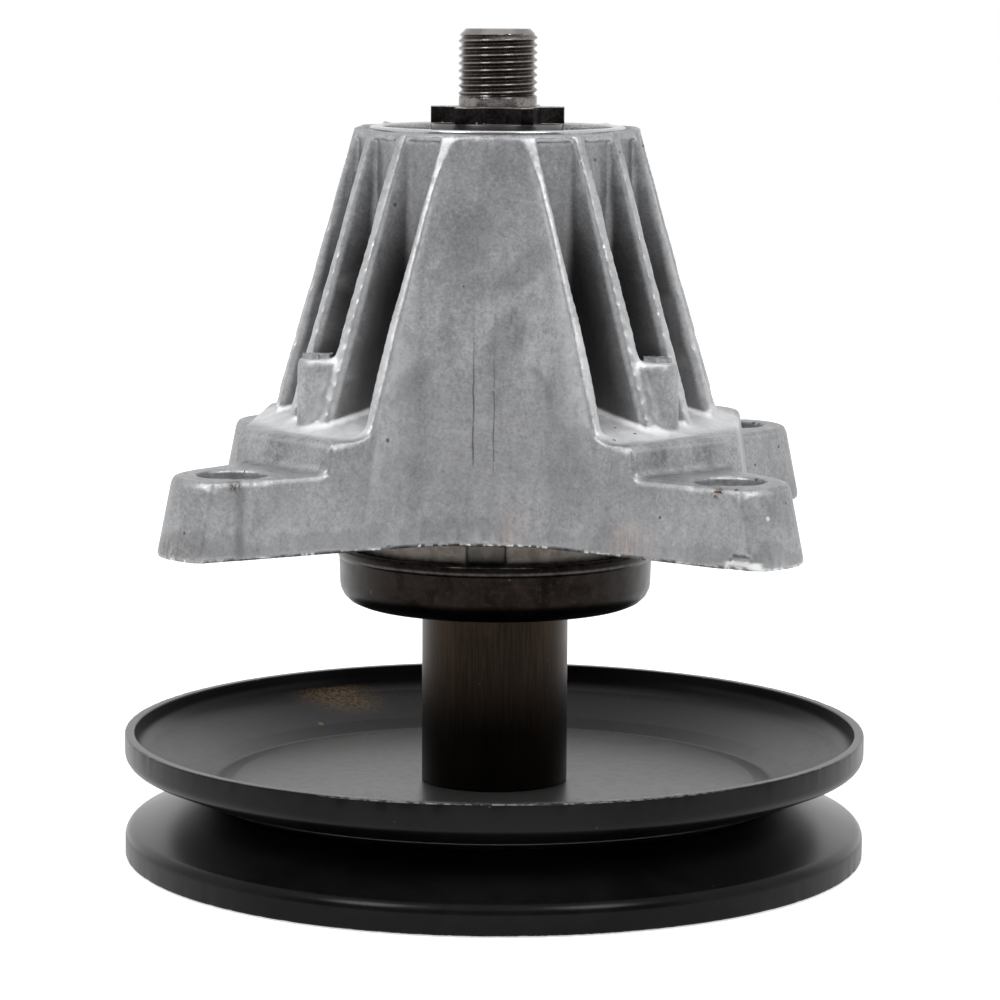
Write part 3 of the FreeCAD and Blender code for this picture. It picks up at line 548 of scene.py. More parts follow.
def cast_aluminium():
    # Raw die casting with painted shade in the pockets, painted highlights on the fin ends (partly worn
    # metal) and on the pocket floors, worn edges and small pits
    f = Finish("cast_aluminium")
    middle = f.noise(0.25, 6, 0.7, 0.6)
    flow = f.noise(0.14, 5, 0.65, 1.4, at=f.stretched(1.0, 1.0, 0.3))
    fine = f.noise(1.5, 5, 0.75)
    rubbed = f.noise(0.55, 5, 0.7, 0.5)
    colour = cast_skin(f, middle, flow, fine, rubbed)
    colour = cast_pockets(f, colour, middle, flow)
    # Painted highlight on the ends of the fins, partly worn bare metal
    fin_end_highlight = f.both(f.attribute("fin_highlight"), f.step(rubbed, 0.36, 0.6, 0.45, 1.0))
    colour = f.over(colour, fin_end_highlight, 0.78, (0.56, 0.565, 0.575))
    worn = f.both(f.attribute("edge"), f.step(rubbed, 0.34, 0.55, 0.35, 1.0))
    colour = f.over(colour, worn, 0.3, (0.5, 0.505, 0.515))
    # Painted highlight on the up-facing pocket floors, which are also made rougher
    floor_highlight = f.both(f.attribute("floor_highlight"), f.step(middle, 0.35, 0.65, 0.7, 1.0))
    colour = f.over(colour, floor_highlight, 0.85, (0.74, 0.742, 0.75))
    colour = panel_marks(f, colour, rubbed)
    pits = f.specks(0.21, 0.075, 0.4)
    colour = f.over(colour, pits, 0.75, (0.06, 0.06, 0.06))
    colour = ear_marks(f, colour, middle, rubbed)
    boss = f.both(f.drop(f.z, 67.5, 67.9), f.drop(f.radius, 30.5, 31.5))
    turning = f.noise(3.0, 3, 0.6, at=f.turned(1.0, 1.6))
    colour = f.mix(boss, colour, boss_skin(f, middle, flow))
    rough = f.math("ADD", f.part(middle, 0.2), 0.37)
    rough = f.math("SUBTRACT", rough, f.part(f.either(boss, fin_end_highlight), 0.1))
    rough = f.math("ADD", rough, f.part(floor_highlight, 0.25))
    dents = f.step(f.cells(0.55), 0.05, 0.16)
    f.bump([(flow, 0.06), (middle, 0.04), (fine, 0.03), (dents, 0.012), (pits, -0.06),
            (f.both(turning, boss), 0.02)])
    return f.set(colour=colour, metal=1.0, rough=rough)


def turned_steel(name, dark, pale, rough, grain, stain, stain_colour):
    # Bare steel with turning marks round the axis and a thin stain
    f = Finish(name)
    marks = f.noise(grain, 3, 0.6, at=f.turned(1.0, 1.3))
    cloud = f.noise(0.3, 5, 0.6, 0.6)
    fine = f.noise(2.6, 4, 0.65)
    tone = f.math("ADD", f.part(marks, 0.5), f.part(fine, 0.5))
    colour = f.mix(f.step(tone, 0.35, 0.65), dark, pale)
    colour = f.mix(f.step(cloud, 0.5, 0.75, 0.0, stain), colour, stain_colour)
    f.bump([(marks, 0.012), (fine, 0.008)])
    return f.set(colour=colour, metal=1.0, rough=f.level(cloud, rough - 0.08, rough + 0.12))


def shaft_steel():
    # Turned shaft with a black star, a grey collar and a few bright chips at the star's foot
    f = Finish("shaft_steel")
    marks = f.noise(2.4, 3, 0.6, at=f.turned(1.0, 1.3))
    fine = f.noise(1.8, 4, 0.65)
    steel = f.mix(f.step(marks, 0.35, 0.65), (0.22, 0.2, 0.185), (0.42, 0.4, 0.385))
    black = f.mix(f.step(fine, 0.35, 0.7), (0.009, 0.0083, 0.008), (0.024, 0.022, 0.0215))
    star = f.band(f.z, STAR_FOOT + 0.05, STAR_TOP - 0.12, 0.08)
    colour = f.mix(star, steel, black)
    chips = f.both(f.band(f.z, STAR_FOOT, STAR_FOOT + 0.5, 0.15), f.specks(0.8, 0.2, 0.2))
    colour = f.over(colour, chips, 0.6, (0.5, 0.485, 0.47))
    collar = f.band(f.z, 146.5, STAR_FOOT, 0.05)
    colour = f.over(colour, collar, 0.8, (0.12, 0.118, 0.118))
    f.bump([(marks, 0.012), (fine, 0.014)])
    return f.set(colour=colour, metal=1.0, rough=f.blend(star, 0.3, f.level(fine, 0.26, 0.42)))


def thread_steel():
    # Rolled thread: oiled brown-grey steel with painted shade in the roots and painted highlights on the
    # crests, paler on the plain shank below the turns and on the chamfer
    f = Finish("thread_steel")
    fine = f.noise(1.6, 4, 0.65)
    cloud = f.noise(0.35, 5, 0.6, 0.8)
    colour = f.mix(f.step(fine, 0.35, 0.65), (0.062, 0.055, 0.05), (0.165, 0.15, 0.142))
    # Painted shade in the roots of the thread
    root = f.drop(f.radius, 7.42, 7.72)
    colour = f.mix(f.both(root, f.step(f.z, 167.5, 167.7, 0.5, 0.0)), colour, (0.04, 0.034, 0.03))
    # Painted highlight along the crests of the thread
    crest_highlight = f.step(f.radius, 7.9, 7.97)
    colour = f.mix(f.both(crest_highlight, f.level(cloud, 0.3, 1.0)), colour, (0.26, 0.24, 0.225))
    shank = f.both(f.drop(f.z, 155.0, 155.3), f.step(fine, 0.3, 0.55))
    top = f.step(f.z, 167.7, 167.95)
    colour = f.over(colour, f.either(shank, top), 0.85, (0.23, 0.22, 0.213))
    colour = f.mix(f.step(cloud, 0.55, 0.75, 0.0, 0.55), colour, (0.075, 0.05, 0.038))
    f.bump([(fine, 0.02), (cloud, 0.02)])
    return f.set(colour=colour, metal=1.0, rough=f.level(cloud, 0.16, 0.3))


def black_paint(name, dusty, specular):
    # Satin black paint with fine orange peel, dust, painted sheen on the web, a painted highlight line
    # along the fold, and a rim rubbed bare in places
    f = Finish(name)
    peel = f.noise(0.8, 3, 0.5)
    broad = f.noise(0.05, 4, 0.6, 0.6)
    fine = f.noise(2.4, 4, 0.65)
    ragged = f.noise(0.35, 5, 0.75, 0.4)
    colour = f.mix(f.step(broad, 0.35, 0.65), (0.0032, 0.0032, 0.0034), (0.0066, 0.0065, 0.0067))

    # Dust that has settled in the dish, painted sheen on the web, and brown dust on its back left slope
    on_top = f.step(f.z, PULLEY_SEAM + 1, PULLEY_SEAM + 1.3)
    lying = f.both(on_top, f.drop(f.radius, 72.0, 74.0), f.facing_up())
    film = f.both(lying, f.step(ragged, 0.42, 0.66), f.step(fine, 0.4, 0.6))
    colour = f.over(colour, film, dusty, (0.09, 0.082, 0.076))
    # Partly dust and partly painted sheen: the web inside the dish is lighter
    dust_and_sheen = f.both(lying, f.drop(f.radius, 50.0, 60.0))
    colour = f.over(colour, dust_and_sheen, 0.42, (0.07, 0.068, 0.067))
    sandy = f.step(f.noise(1.3, 5, 0.75), 0.36, 0.64)
    back_left = f.near((-40.0, 60.0, 20.2), 5.2, 0.9, (0.6, 1.0, 1.3))
    brown = f.both(back_left, sandy, f.band(f.z, 15.5, 21.9, 0.5), f.facing_up())
    colour = f.over(colour, brown, 0.72, (0.19, 0.118, 0.052))
    crumb = f.near((-41.3, 47.3, 16.3), 0.55, 0.6)
    colour = f.mix(crumb, colour, (0.2, 0.1, 0.04))
    grit = f.both(f.specks(0.5, 0.09, 0.1), f.step(broad, 0.45, 0.6))
    colour = f.over(colour, grit, 0.5, (0.09, 0.085, 0.08))
    # Painted highlight: a thin pale line along the bend of the upper flank
    fold_height = f.band(f.z, PULLEY_SEAM + 0.3, PULLEY_SEAM + 4.0, 0.3)
    fold_highlight = f.both(f.band(f.radius, 65.6, 66.1, 0.25), fold_height)
    colour = f.over(colour, fold_highlight, 0.85, (0.4, 0.38, 0.365))

    # Rims rubbed down to the steel
    rim_high = f.both(f.step(f.z, 25.2, 25.42), f.step(f.radius, 73.8, 74.2))
    rim_low = f.both(f.drop(f.z, 0.08, 0.3), f.step(f.radius, 73.8, 74.2))
    front_rim = f.both(f.step(f.y, -56.0, -66.0), f.step(f.x, -32.0, -20.0))
    scraped = f.step(f.noise(0.8, 5, 0.8, 0.3), 0.45, 0.55)
    scattered = f.step(f.noise(0.5, 5, 0.8, 0.3), 0.6, 0.68)
    bare = f.both(f.either(rim_high, rim_low), f.either(f.both(front_rim, scraped), scattered))
    colour = f.over(colour, bare, 0.85, (0.3, 0.287, 0.275))
    f.bump([(peel, 0.008), (fine, 0.003), (grit, 0.04), (bare, -0.03)])
    rough = f.math("ADD", f.level(broad, 0.27, 0.34), f.part(film, 0.1))
    shoulder = f.both(f.step(f.radius, 73.6, 74.6), f.band(f.z, 3.0, 7.0, 0.5), f.step(f.y, -44.0, -56.0))
    rough = f.math("SUBTRACT", rough, f.part(shoulder, 0.08))
    slant = f.node("LayerWeight", Blend=0.5)
    sheen = f.both(f.step(slant.outputs["Facing"], 0.4, 0.85), f.facing_up())
    gloss = f.level(sheen, specular, 0.75)
    return f.set(colour=colour, metal=f.part(bare, 0.9), rough=rough, specular=gloss)


def spacer_steel():
    # Drawn tube, oiled nearly black, with grain along it and an ochre tint at the upper end
    f = Finish("spacer_steel")
    drawn = f.noise(2.6, 4, 0.65, at=f.stretched(1.0, 1.0, 0.035))
    cloud = f.noise(0.14, 5, 0.6, 1.0, at=f.stretched(1.0, 1.0, 0.5))
    fine = f.noise(2.2, 4, 0.65)
    colour = f.mix(f.step(drawn, 0.3, 0.7), (0.017, 0.0125, 0.0095), (0.031, 0.0232, 0.0178))
    tint = f.both(f.step(f.z, 26.0, 52.0), f.step(cloud, 0.35, 0.65))
    colour = f.over(colour, tint, 0.4, (0.056, 0.037, 0.022))
    dark = f.step(f.z, 16.0, 38.0, 0.75, 0.0)
    colour = f.mix(dark, colour, (0.006, 0.0055, 0.005))
    nicks = f.specks(0.45, 0.1, 0.12)
    colour = f.over(colour, nicks, 0.3, (0.16, 0.145, 0.13))
    f.bump([(drawn, 0.02), (fine, 0.01), (nicks, -0.03)])
    return f.set(colour=colour, metal=1.0, rough=f.level(cloud, 0.3, 0.5))


def cap_steel():
    # Pressed cap, brown-black, with a line worn along the foot of its rim
    f = Finish("cap_steel")
    drawn = f.noise(1.8, 4, 0.6, at=f.stretched(1.0, 1.0, 0.15))
    cloud = f.noise(0.12, 5, 0.6, 1.0)
    ragged = f.noise(0.45, 5, 0.75, 0.4)
    colour = f.mix(f.step(cloud, 0.35, 0.65), (0.007, 0.0052, 0.0045), (0.017, 0.0135, 0.012))
    outside = f.step(f.radius, 31.4, 31.8)
    line = f.both(f.band(f.z, 61.7, 62.5, 0.25), outside, f.step(ragged, 0.4, 0.6, 0.4, 1.0))
    edge = f.both(f.step(f.z, 63.3, 63.6), outside, f.step(ragged, 0.42, 0.6))
    colour = f.over(colour, f.either(line, edge), 0.5, (0.12, 0.108, 0.1))
    dark_rim = f.both(f.band(f.z, 62.5, 63.5, 0.2), outside)
    colour = f.over(colour, dark_rim, 0.7, (0.003, 0.0026, 0.0024))
    dusty = f.both(f.step(f.noise(0.9, 6, 0.8, 0.3), 0.5, 0.66), f.step(f.z, 54.5, 56.5))
    colour = f.over(colour, dusty, 0.4, (0.034, 0.029, 0.026))
    grit = f.specks(0.42, 0.1, 0.1)
    colour = f.over(colour, grit, 0.4, (0.09, 0.08, 0.074))
    f.bump([(drawn, 0.015), (ragged, 0.02), (grit, 0.04)])
    return f.set(colour=colour, metal=1.0, rough=f.level(ragged, 0.24, 0.46))


def zinc_nut():
    # Zinc plated flange nut with a faint spangle and a yellow-white bloom
    f = Finish("zinc_nut")
    spangle = f.cells(0.9)
    fine = f.noise(2.2, 4, 0.65)
    cloud = f.noise(0.25, 5, 0.6, 0.8)
    colour = f.mix(f.step(spangle, 0.2, 0.7), (0.4, 0.4, 0.41), (0.55, 0.55, 0.555))
    colour = f.mix(f.step(cloud, 0.5, 0.7, 0.0, 0.5), colour, (0.36, 0.335, 0.27))
    f.bump([(fine, 0.012), (spangle, 0.008)])
    return f.set(colour=colour, metal=1.0, rough=f.level(fine, 0.26, 0.46))


def moulded(name, dark, pale, rough, rings):
    # Moulded rubber or plastic, with fine rings from the mould
    f = Finish(name)
    fine = f.noise(1.4, 4, 0.65)
    cloud = f.noise(0.25, 4, 0.6)
    tone = f.math("ADD", f.part(fine, 0.5), f.part(cloud, 0.5))
    colour = f.mix(f.step(tone, 0.38, 0.62), dark, pale)
    ridges = f.math("SINE", f.math("MULTIPLY", f.radius, rings))
    f.bump([(ridges, 0.02), (fine, 0.012)])
    return f.set(colour=colour, metal=0.0, rough=f.level(fine, rough - 0.08, rough + 0.1))


# Housing: the solid's mesh with the soft edges and roots of a die casting
GRAIN = 0.4
FIN_GROWTH = 0.42
EDGE_WAVE = 0.05
RIM_FLASH = 0.6
WALL_SETBACK = 3.35
WALL_END_WIDTH = 1.95
FREE_ANGLE = math.radians(32)
NARROWING = (98, 138)
TAPERING = (96, 138)
ROOTS_FADING = (128, 138)
POCKET_SHADE_FADING = (116, 141)
ENDS_FADING = (138, 145)
FLOORS_TOP = 112
TUBE_OUTSIDE = 27.4
EAR_SEAT_REACH = 8.2
STRAIGHTENING_ROUNDS = 26
ROOT_ROUNDS = 28
FLOOR_ROUNDS = 16
MOST_TRIANGLES = 190000


def neighbour_mean(pairs, values):
    count = np.bincount(pairs.ravel(), minlength=len(values))
    total = (np.bincount(pairs[:, 0], values[pairs[:, 1]], len(values))
             + np.bincount(pairs[:, 1], values[pairs[:, 0]], len(values)))
    return total / np.maximum(count, 1)


def bend_of(pairs, spots, normals):
    # How far each point stands out of its neighbours: above 0 on edges, below 0 in roots
    bend = np.zeros(len(spots))
    for axis in range(3):
        bend += (spots[:, axis] - neighbour_mean(pairs, spots[:, axis])) * normals[:, axis]
    return bend


def spread(pairs, values, rounds):
    for _ in range(rounds):
        values = 0.5 * values + 0.5 * neighbour_mean(pairs, values)
    return values


def relax(pairs, spots, share, rounds):
    # Points move a share of the way to the middle of their neighbours
    for _ in range(rounds):
        for axis in range(3):
            spots[:, axis] += share * (neighbour_mean(pairs, spots[:, axis]) - spots[:, axis])


def cone_radius(z):
    fall = (z - SHELF_TOP) * (CONE_FOOT_RADIUS - CONE_TOP_RADIUS)
    return CONE_FOOT_RADIUS - fall / (HOUSING_TOP - SHELF_TOP)


def wall_end(z, setback):
    # Angle from the front at which a wall face meets the cone that the fins end on
    wall = WALL_OFFSET - (z - MOUNT_FACE) * WALL_DRAFT - setback
    lengthening = 1 + WALL_SLOPE ** 2
    half = wall * WALL_SLOPE
    square = half ** 2 - lengthening * (wall ** 2 - cone_radius(z) ** 2)
    x = (np.sqrt(np.maximum(square, 0)) - half) / lengthening
    return np.arcsin(np.clip(x / cone_radius(z), 0, 1))


def straighten_ridges(pairs, spots, edge):
    # Points on an edge move towards their neighbours on the same edge, which takes small steps out of it
    weight = edge ** 2 + 0.01
    total = neighbour_mean(pairs, weight)
    share = ramp(edge, 0.15, 0.6) * 0.7
    for _ in range(STRAIGHTENING_ROUNDS):
        for axis in range(3):
            along = neighbour_mean(pairs, weight * spots[:, axis]) / total
            spots[:, axis] += share * (along - spots[:, axis])


def soften_roots(pairs, spots, normals):
    # Wider fillets in the inner corners of the casting, away from bores and seats
    root = ramp(-bend_of(pairs, spots, normals), 0.008, 0.03)
    away = np.hypot(spots[:, 0], spots[:, 1])
    from_ear = np.hypot(np.abs(spots[:, 0]) - EAR_PLACE, np.abs(spots[:, 1]) - EAR_PLACE)
    root *= (from_ear > EAR_SEAT_REACH) & (away > TUBE_OUTSIDE) & (spots[:, 2] > MOUNT_FACE + 1)
    root = np.clip(spread(pairs, root, 8) * 2.2, 0, 1) * (1 - ramp(spots[:, 2], *ROOTS_FADING))
    relax(pairs, spots, 0.6 * root, ROOT_ROUNDS)
    floor = spread(pairs, root * (spots[:, 2] > SHELF_TOP - 1) * (spots[:, 2] < SHELF_TOP + 8), 8)
    relax(pairs, spots, 0.6 * floor, FLOOR_ROUNDS)


def thin_panel_edges(spots):
    # Near the top the walls beside the panel run out in a narrow end
    x, y, z = spots.T
    away = np.hypot(x, y)
    angle = np.arctan2(np.abs(x), np.abs(y))
    start = wall_end(z, 0)
    end = wall_end(z, WALL_SETBACK)
    share = np.clip(WALL_END_WIDTH / cone_radius(z) / np.maximum(end - start, 0.01), 0, 1)
    share = 1 + (share - 1) * ramp(z, *NARROWING)
    narrowed = (end - start) * share
    rest = FREE_ANGLE - start - narrowed
    in_wall = start + (angle - start) * share
    in_pocket = start + narrowed + (angle - end) * rest / (FREE_ANGLE - end)
    squeezed = np.where(angle < end, in_wall, in_pocket)
    moved = (z > NARROWING[0]) & (z < HOUSING_TOP + 0.1) & (away > 26.5)
    moved &= (angle > start) & (angle < FREE_ANGLE)
    angle = np.where(moved, squeezed, angle)
    spots[:, 0] = np.where(moved, np.sign(x) * away * np.sin(angle), x)
    spots[:, 1] = np.where(moved, np.sign(y) * away * np.cos(angle), y)


def gap_to_wall(spots):
    # Distance from the outer face of the nearest wall beside a panel, above 0 on the side of the fins
    wall = WALL_OFFSET - (spots[:, 2] - MOUNT_FACE) * WALL_DRAFT
    return (wall + np.abs(spots[:, 0]) * WALL_SLOPE - np.abs(spots[:, 1])) * WALL_LEAN


def thicken_fins(spots, normals):
    # The fins grow thicker towards their feet
    away = np.maximum(np.hypot(spots[:, 0], spots[:, 1]), 1)
    wall_gap = gap_to_wall(spots)
    outward = np.abs(normals[:, 0] * spots[:, 0] + normals[:, 1] * spots[:, 1]) / away
    side = (1 - ramp(outward, 0.35, 0.7)) * (1 - ramp(np.abs(normals[:, 2]), 0.35, 0.6))
    side *= ramp(wall_gap, 2.5, 3.5) * ramp(spots[:, 2], SHELF_TOP + 0.5, SHELF_TOP + 4)
    side *= 1 - ramp(spots[:, 2], *TAPERING)
    cone = cone_radius(spots[:, 2])
    side *= ramp(away, 24, 27) * (1 - ramp(away, cone - 0.2, cone + 0.6))
    spots[:, :2] += FIN_GROWTH * side[:, None] * normals[:, :2]


def chip_ear(spots):
    # Chip out of the front right ear's lower edge
    x, y, z = spots.T
    along = ramp(x, 47.2, 48.4) * (1 - ramp(x, 53.4, 55.0))
    sloped = along * np.clip(69.9 - z, 0, 2) * 0.42
    hollow = ramp(x, 48.2, 49.0) * (1 - ramp(x, 51.6, 52.8)) * np.exp(-((z - 70.3) / 0.55) ** 2) * 0.9
    spots[:, 1] += np.where((y < -54) & (z < 73), sloped + hollow, 0)


def soft_casting():
    rounded = with_modifiers(cad_copy("spindle_housing", "housing_plain"), "housing_rounded", [
        ("REMESH", {"mode": "VOXEL", "voxel_size": GRAIN * MM, "use_smooth_shade": True}),
        ("SMOOTH", {"factor": 0.5, "iterations": 5}),
    ])
    flat = np.zeros(len(rounded.edges) * 2, np.int32)
    rounded.edges.foreach_get("vertices", flat)
    pairs = flat.reshape(-1, 2)
    spots = points_of(rounded)
    normals = points_of(rounded, "normal", 1)
    thicken_fins(spots, normals)
    edge = ramp(spread(pairs, bend_of(pairs, spots, normals), 6), 0.008, 0.026)
    straighten_ridges(pairs, spots, edge)
    crisp = ramp(spread(pairs, bend_of(pairs, spots, normals), 3), 0.006, 0.024)
    soften_roots(pairs, spots, normals)
    thin_panel_edges(spots)

    # Slightly wavy edges, and flash that stands up at both sides of the top rim
    away = np.hypot(spots[:, 0], spots[:, 1])
    outer = (spots[:, 2] > MOUNT_FACE - 0.2) & (away > 28.4) & (edge > 0.05)
    for i in np.flatnonzero(outer):
        here = Vector(spots[i])
        push = noise.noise(here * 0.22) * 0.6 + noise.noise(here * 0.9) * 0.4
        spots[i] += normals[i] * (edge[i] * push * EDGE_WAVE)
    raised = ramp(spots[:, 2], HOUSING_TOP - 0.9, HOUSING_TOP - 0.2) * ramp(away, 27.0, 28.2)
    spots[:, 2] += RIM_FLASH * raised * ramp(np.abs(spots[:, 0]), 20, 27)
    chip_ear(spots)

    # The seat ring is a turned piece of its own, so the casting ends below it
    lowered = HOUSING_TOP - 0.15
    under_ring = (away < 27.2) & (spots[:, 2] > lowered)
    spots[:, 2] = np.where(under_ring, lowered, spots[:, 2])
    rounded.vertices.foreach_set("co", (spots * MM).astype(np.float32).ravel())
    rounded.update()

    # Marks for the finish: painted shade in the pockets between the fins, painted highlights on their
    # floors and on the ends of the fins, and edges
    normals = points_of(rounded, "normal", 1)
    wall_gap = gap_to_wall(spots)
    height = spots[:, 2]
    depth = cone_radius(height) - away
    above = ramp(height, SHELF_TOP, SHELF_TOP + 3)
    inside = ramp(wall_gap, 1.4, 2.6)
    lying = ramp(normals[:, 2], 0.2, 0.6)
    lower = 1 - 0.8 * ramp(height, *POCKET_SHADE_FADING)
    wide = 1.3 - 0.8 * ramp(height, *TAPERING)
    # Painted shade in the pockets between the fins, weaker near the top
    mark(rounded, "pocket", np.clip((depth - wide) / 1.3, 0, 1) * above * inside * (1 - lying) * lower)
    # Painted highlight on the pocket floors that face up
    lit_floors = ramp(depth, -6.0, -2.5) * ramp(normals[:, 2], 0.15, 0.5) * ramp(wall_gap, 0.5, 2)
    mark(rounded, "floor_highlight", lit_floors * (height > SHELF_TOP - 3) * (height < FLOORS_TOP))
    top_end = 1 - 0.6 * ramp(height, *ENDS_FADING)
    end = ramp(wide + 0.2 - np.abs(depth), -0.35, 0.35)
    # Painted highlight on the ends of the fins
    mark(rounded, "fin_highlight", end * above * top_end * ramp(wall_gap, -0.9, 0.1))
    mark(rounded, "edge", crisp * top_end * (height > MOUNT_FACE - 0.3))
    triangles = sum(len(p.vertices) - 2 for p in rounded.polygons)
    made = with_modifiers(rounded, "housing_casting", [
        ("DECIMATE", {"decimate_type": "COLLAPSE", "ratio": MOST_TRIANGLES / triangles}),
    ])
    made.polygons.foreach_set("use_smooth", [True] * len(made.polygons))
    made.update()
    return made


casting = new_piece("housing_casting", soft_casting(), "housing", ["spindle_housing"])


def flash(r, z, turn):
    # Two beads of casting flash on the ring's back edge
    if z > RING_TOP - 0.5 and r > 24.6:
        angle = math.degrees(turn)
        left_bead = math.exp(-((angle - 157) / 2.3) ** 2)
        right_bead = math.exp(-((angle - 33) / 4) ** 2)
        z += 0.42 * left_bead + 0.2 * right_bead
        r += 0.35 * left_bead
    return r, z


def burr_plate(name, x, y):
    # Ragged plate of casting burr left on top of a post
    steps = 30
    radius = 3.0
    sunk = POST_TOP - 0.6
    foot = []
    crown = []
    for j in range(steps):
        turn = 2 * math.pi * j / steps
        ragged = noise.noise(Vector((x + radius * math.cos(turn), y + radius * math.sin(turn), 5)))
        r = radius + 0.7 * ragged
        foot.append((x + r * math.cos(turn), y + r * math.sin(turn), sunk))
        r -= 0.25
        crown.append((x + r * math.cos(turn), y + r * math.sin(turn), POST_TOP + 0.75 + 0.6 * ragged))
    faces = []
    for j in range(steps):
        ahead = (j + 1) % steps
        faces.append((j, ahead, steps + ahead, steps + j))
        faces.append((steps + j, steps + ahead, 2 * steps))
        faces.append((ahead, j, 2 * steps + 1))
    mesh = mesh_from(name, foot + crown + [(x, y, POST_TOP + 0.8), (x, y, sunk)], faces)
    shade(mesh)
    return new_piece(name, mesh, "housing")


plates = []
for number, (across, along) in enumerate(((-1, -1), (1, -1), (1, 1), (-1, 1)), 1):
    plates.append(burr_plate("post_burr_%d" % number, across * POST_X, along * POST_Y))

SEAT_RADIUS = 23.53
RING_RADIUS = 26.0
ring = new_piece("seat_ring", lathe("seat_ring", [
    (SEAT_RADIUS, RING_FOOT, 0),
    (RING_RADIUS, RING_FOOT, 0),
    (RING_RADIUS, RING_TOP, 0.45),
    (SEAT_RADIUS, RING_TOP, 0.3),
], 240, flash), "housing")


# Shaft: bevelled body below the blade thread, and the thread with its turns
def cut_above_star(edit):
    everything = edit.verts[:] + edit.edges[:] + edit.faces[:]
    bmesh.ops.bisect_plane(edit, geom=everything, dist=1e-7, plane_co=(0, 0, (STAR_TOP + 0.02) * MM),
                           plane_no=(0, 0, 1), clear_outer=True)


shaft_mesh = bevelled("spindle_shaft", "shaft_body", 0.22)
reworked(shaft_mesh, cut_above_star)
shade(shaft_mesh)
shaft = new_piece("shaft_body", shaft_mesh, "spindle", ["spindle_shaft"])

PITCH = 1.5
THREAD_RADIUS = 8.0
SHANK_RADIUS = 7.92
THREAD_START = 155.2
THREAD_FADE = 0.6
TOP_RADIUS = 6.5

# One turn of the thread, from crest to crest: share of the pitch and depth of the cut
TURN_PROFILE = ((-0.1, 0.07), (-0.07, 0.03), (-0.035, 0.008), (0.0, 0.0), (0.035, 0.008), (0.07, 0.03),
                (0.1, 0.07), (0.34, 0.5), (0.46, 0.62), (0.54, 0.62), (0.66, 0.5), (0.9, 0.07))


def thread_radius(turn, height):
    shares, depths = zip(*TURN_PROFILE)
    share = ((height - THREAD_START) / PITCH - turn / (2 * math.pi)) % 1.0
    if share >= shares[-1]:
        share -= 1
    cut = float(np.interp(share, shares, depths))
    fade = min(max((height - THREAD_START) / THREAD_FADE, 0), 1)
    full = SHANK_RADIUS + (THREAD_RADIUS - cut - SHANK_RADIUS) * fade
    return min(full, TOP_RADIUS + (SHAFT_TOP - height))


def without_slivers(edit):
    bmesh.ops.dissolve_degenerate(edit, edges=edit.edges, dist=1e-6)


def blade_thread():
    columns = 144
    shares = []
    for (s0, _), (s1, _) in zip(TURN_PROFILE[:-1], TURN_PROFILE[1:]):
        pieces = max(1, round((s1 - s0) / 0.09))
        shares += [s0 + (s1 - s0) * k / pieces for k in range(pieces)]
    rows = []
    for k in range(-3, int((SHAFT_TOP - STAR_TOP) / PITCH) + 2):
        rows += [k + s for s in shares]
    points = []
    for j in range(columns + 1):
        turn = 2 * math.pi * j / columns
        for row in rows:
            height = min(max(THREAD_START + PITCH * (row + j / columns), STAR_TOP), SHAFT_TOP)
            r = thread_radius(turn, height)
            points.append((r * math.cos(turn), r * math.sin(turn), height))
    count = len(rows)
    faces = []
    for j in range(columns):
        for i in range(count - 1):
            a = j * count + i
            faces.append((a, a + count, a + count + 1, a + 1))
    hub = len(points)
    points.append((0, 0, SHAFT_TOP))
    for j in range(columns):
        faces.append(((j + 1) * count + count - 1, hub, j * count + count - 1))
    mesh = mesh_from("blade_thread", points, faces)
    reworked(mesh, welded(2e-6), without_slivers, faced_out)
    shade(mesh, 28)
    return mesh


thread = new_piece("blade_thread", blade_thread(), "spindle")

# Pulley discs, spacer tube, dust cap and nut
RIM = 76.2
LIP_INSIDE = 74.2
ROOT = 59.5
ROOT_INSIDE = 59.09
RISE = 7.09
RISE_INSIDE = 8.41
LIP_HEIGHT = 12.74
LIP_EASE = 0.35
SHEET = 2.0
BORE = 10.1
DISC_STEPS = 420
TUBE_RADIUS = 15.0
CAP_SEAT = 53.0
CAP_FLOOR = 53.5
CAP_HUB_TOP = 54.4
CAP_TOP = 63.8
CAP_HOLE = 15.1
CAP_HUB = 16.5


def burrs(r, z, turn):
    # Small burrs and runs of paint along the free edge of a lip
    free = max(0.0, abs(z - PULLEY_SEAM) - 11.9) / 0.84
    if free and r > RIM - 1:
        rough = noise.noise(Vector((math.cos(turn) * 55, math.sin(turn) * 55, z)))
        r -= 0.34 * free * max(0.0, rough)
    return r, z


def sheave(name, sign, node):
    # One pressed disc, drawn from the seam; the bore is hidden by the shaft
    def up(h):
        return PULLEY_SEAM + sign * h
    corners = [
        (BORE, up(0), 0),
        (ROOT, up(0), 3.5),
        (RIM, up(RISE), 2.7),
        (RIM, up(LIP_HEIGHT), LIP_EASE),
        (LIP_INSIDE, up(LIP_HEIGHT), LIP_EASE),
        (LIP_INSIDE, up(RISE_INSIDE), 4.0),
        (ROOT_INSIDE + 3.2, up(SHEET + 1.2), 2.4),
        (ROOT_INSIDE - 1.0, up(SHEET - 0.85), 2.6),
        (ROOT_INSIDE - 5.4, up(SHEET), 3.0),
        (BORE, up(SHEET), 0),
    ]
    return new_piece(name, lathe(name, corners, DISC_STEPS, burrs), "spindle", [node])


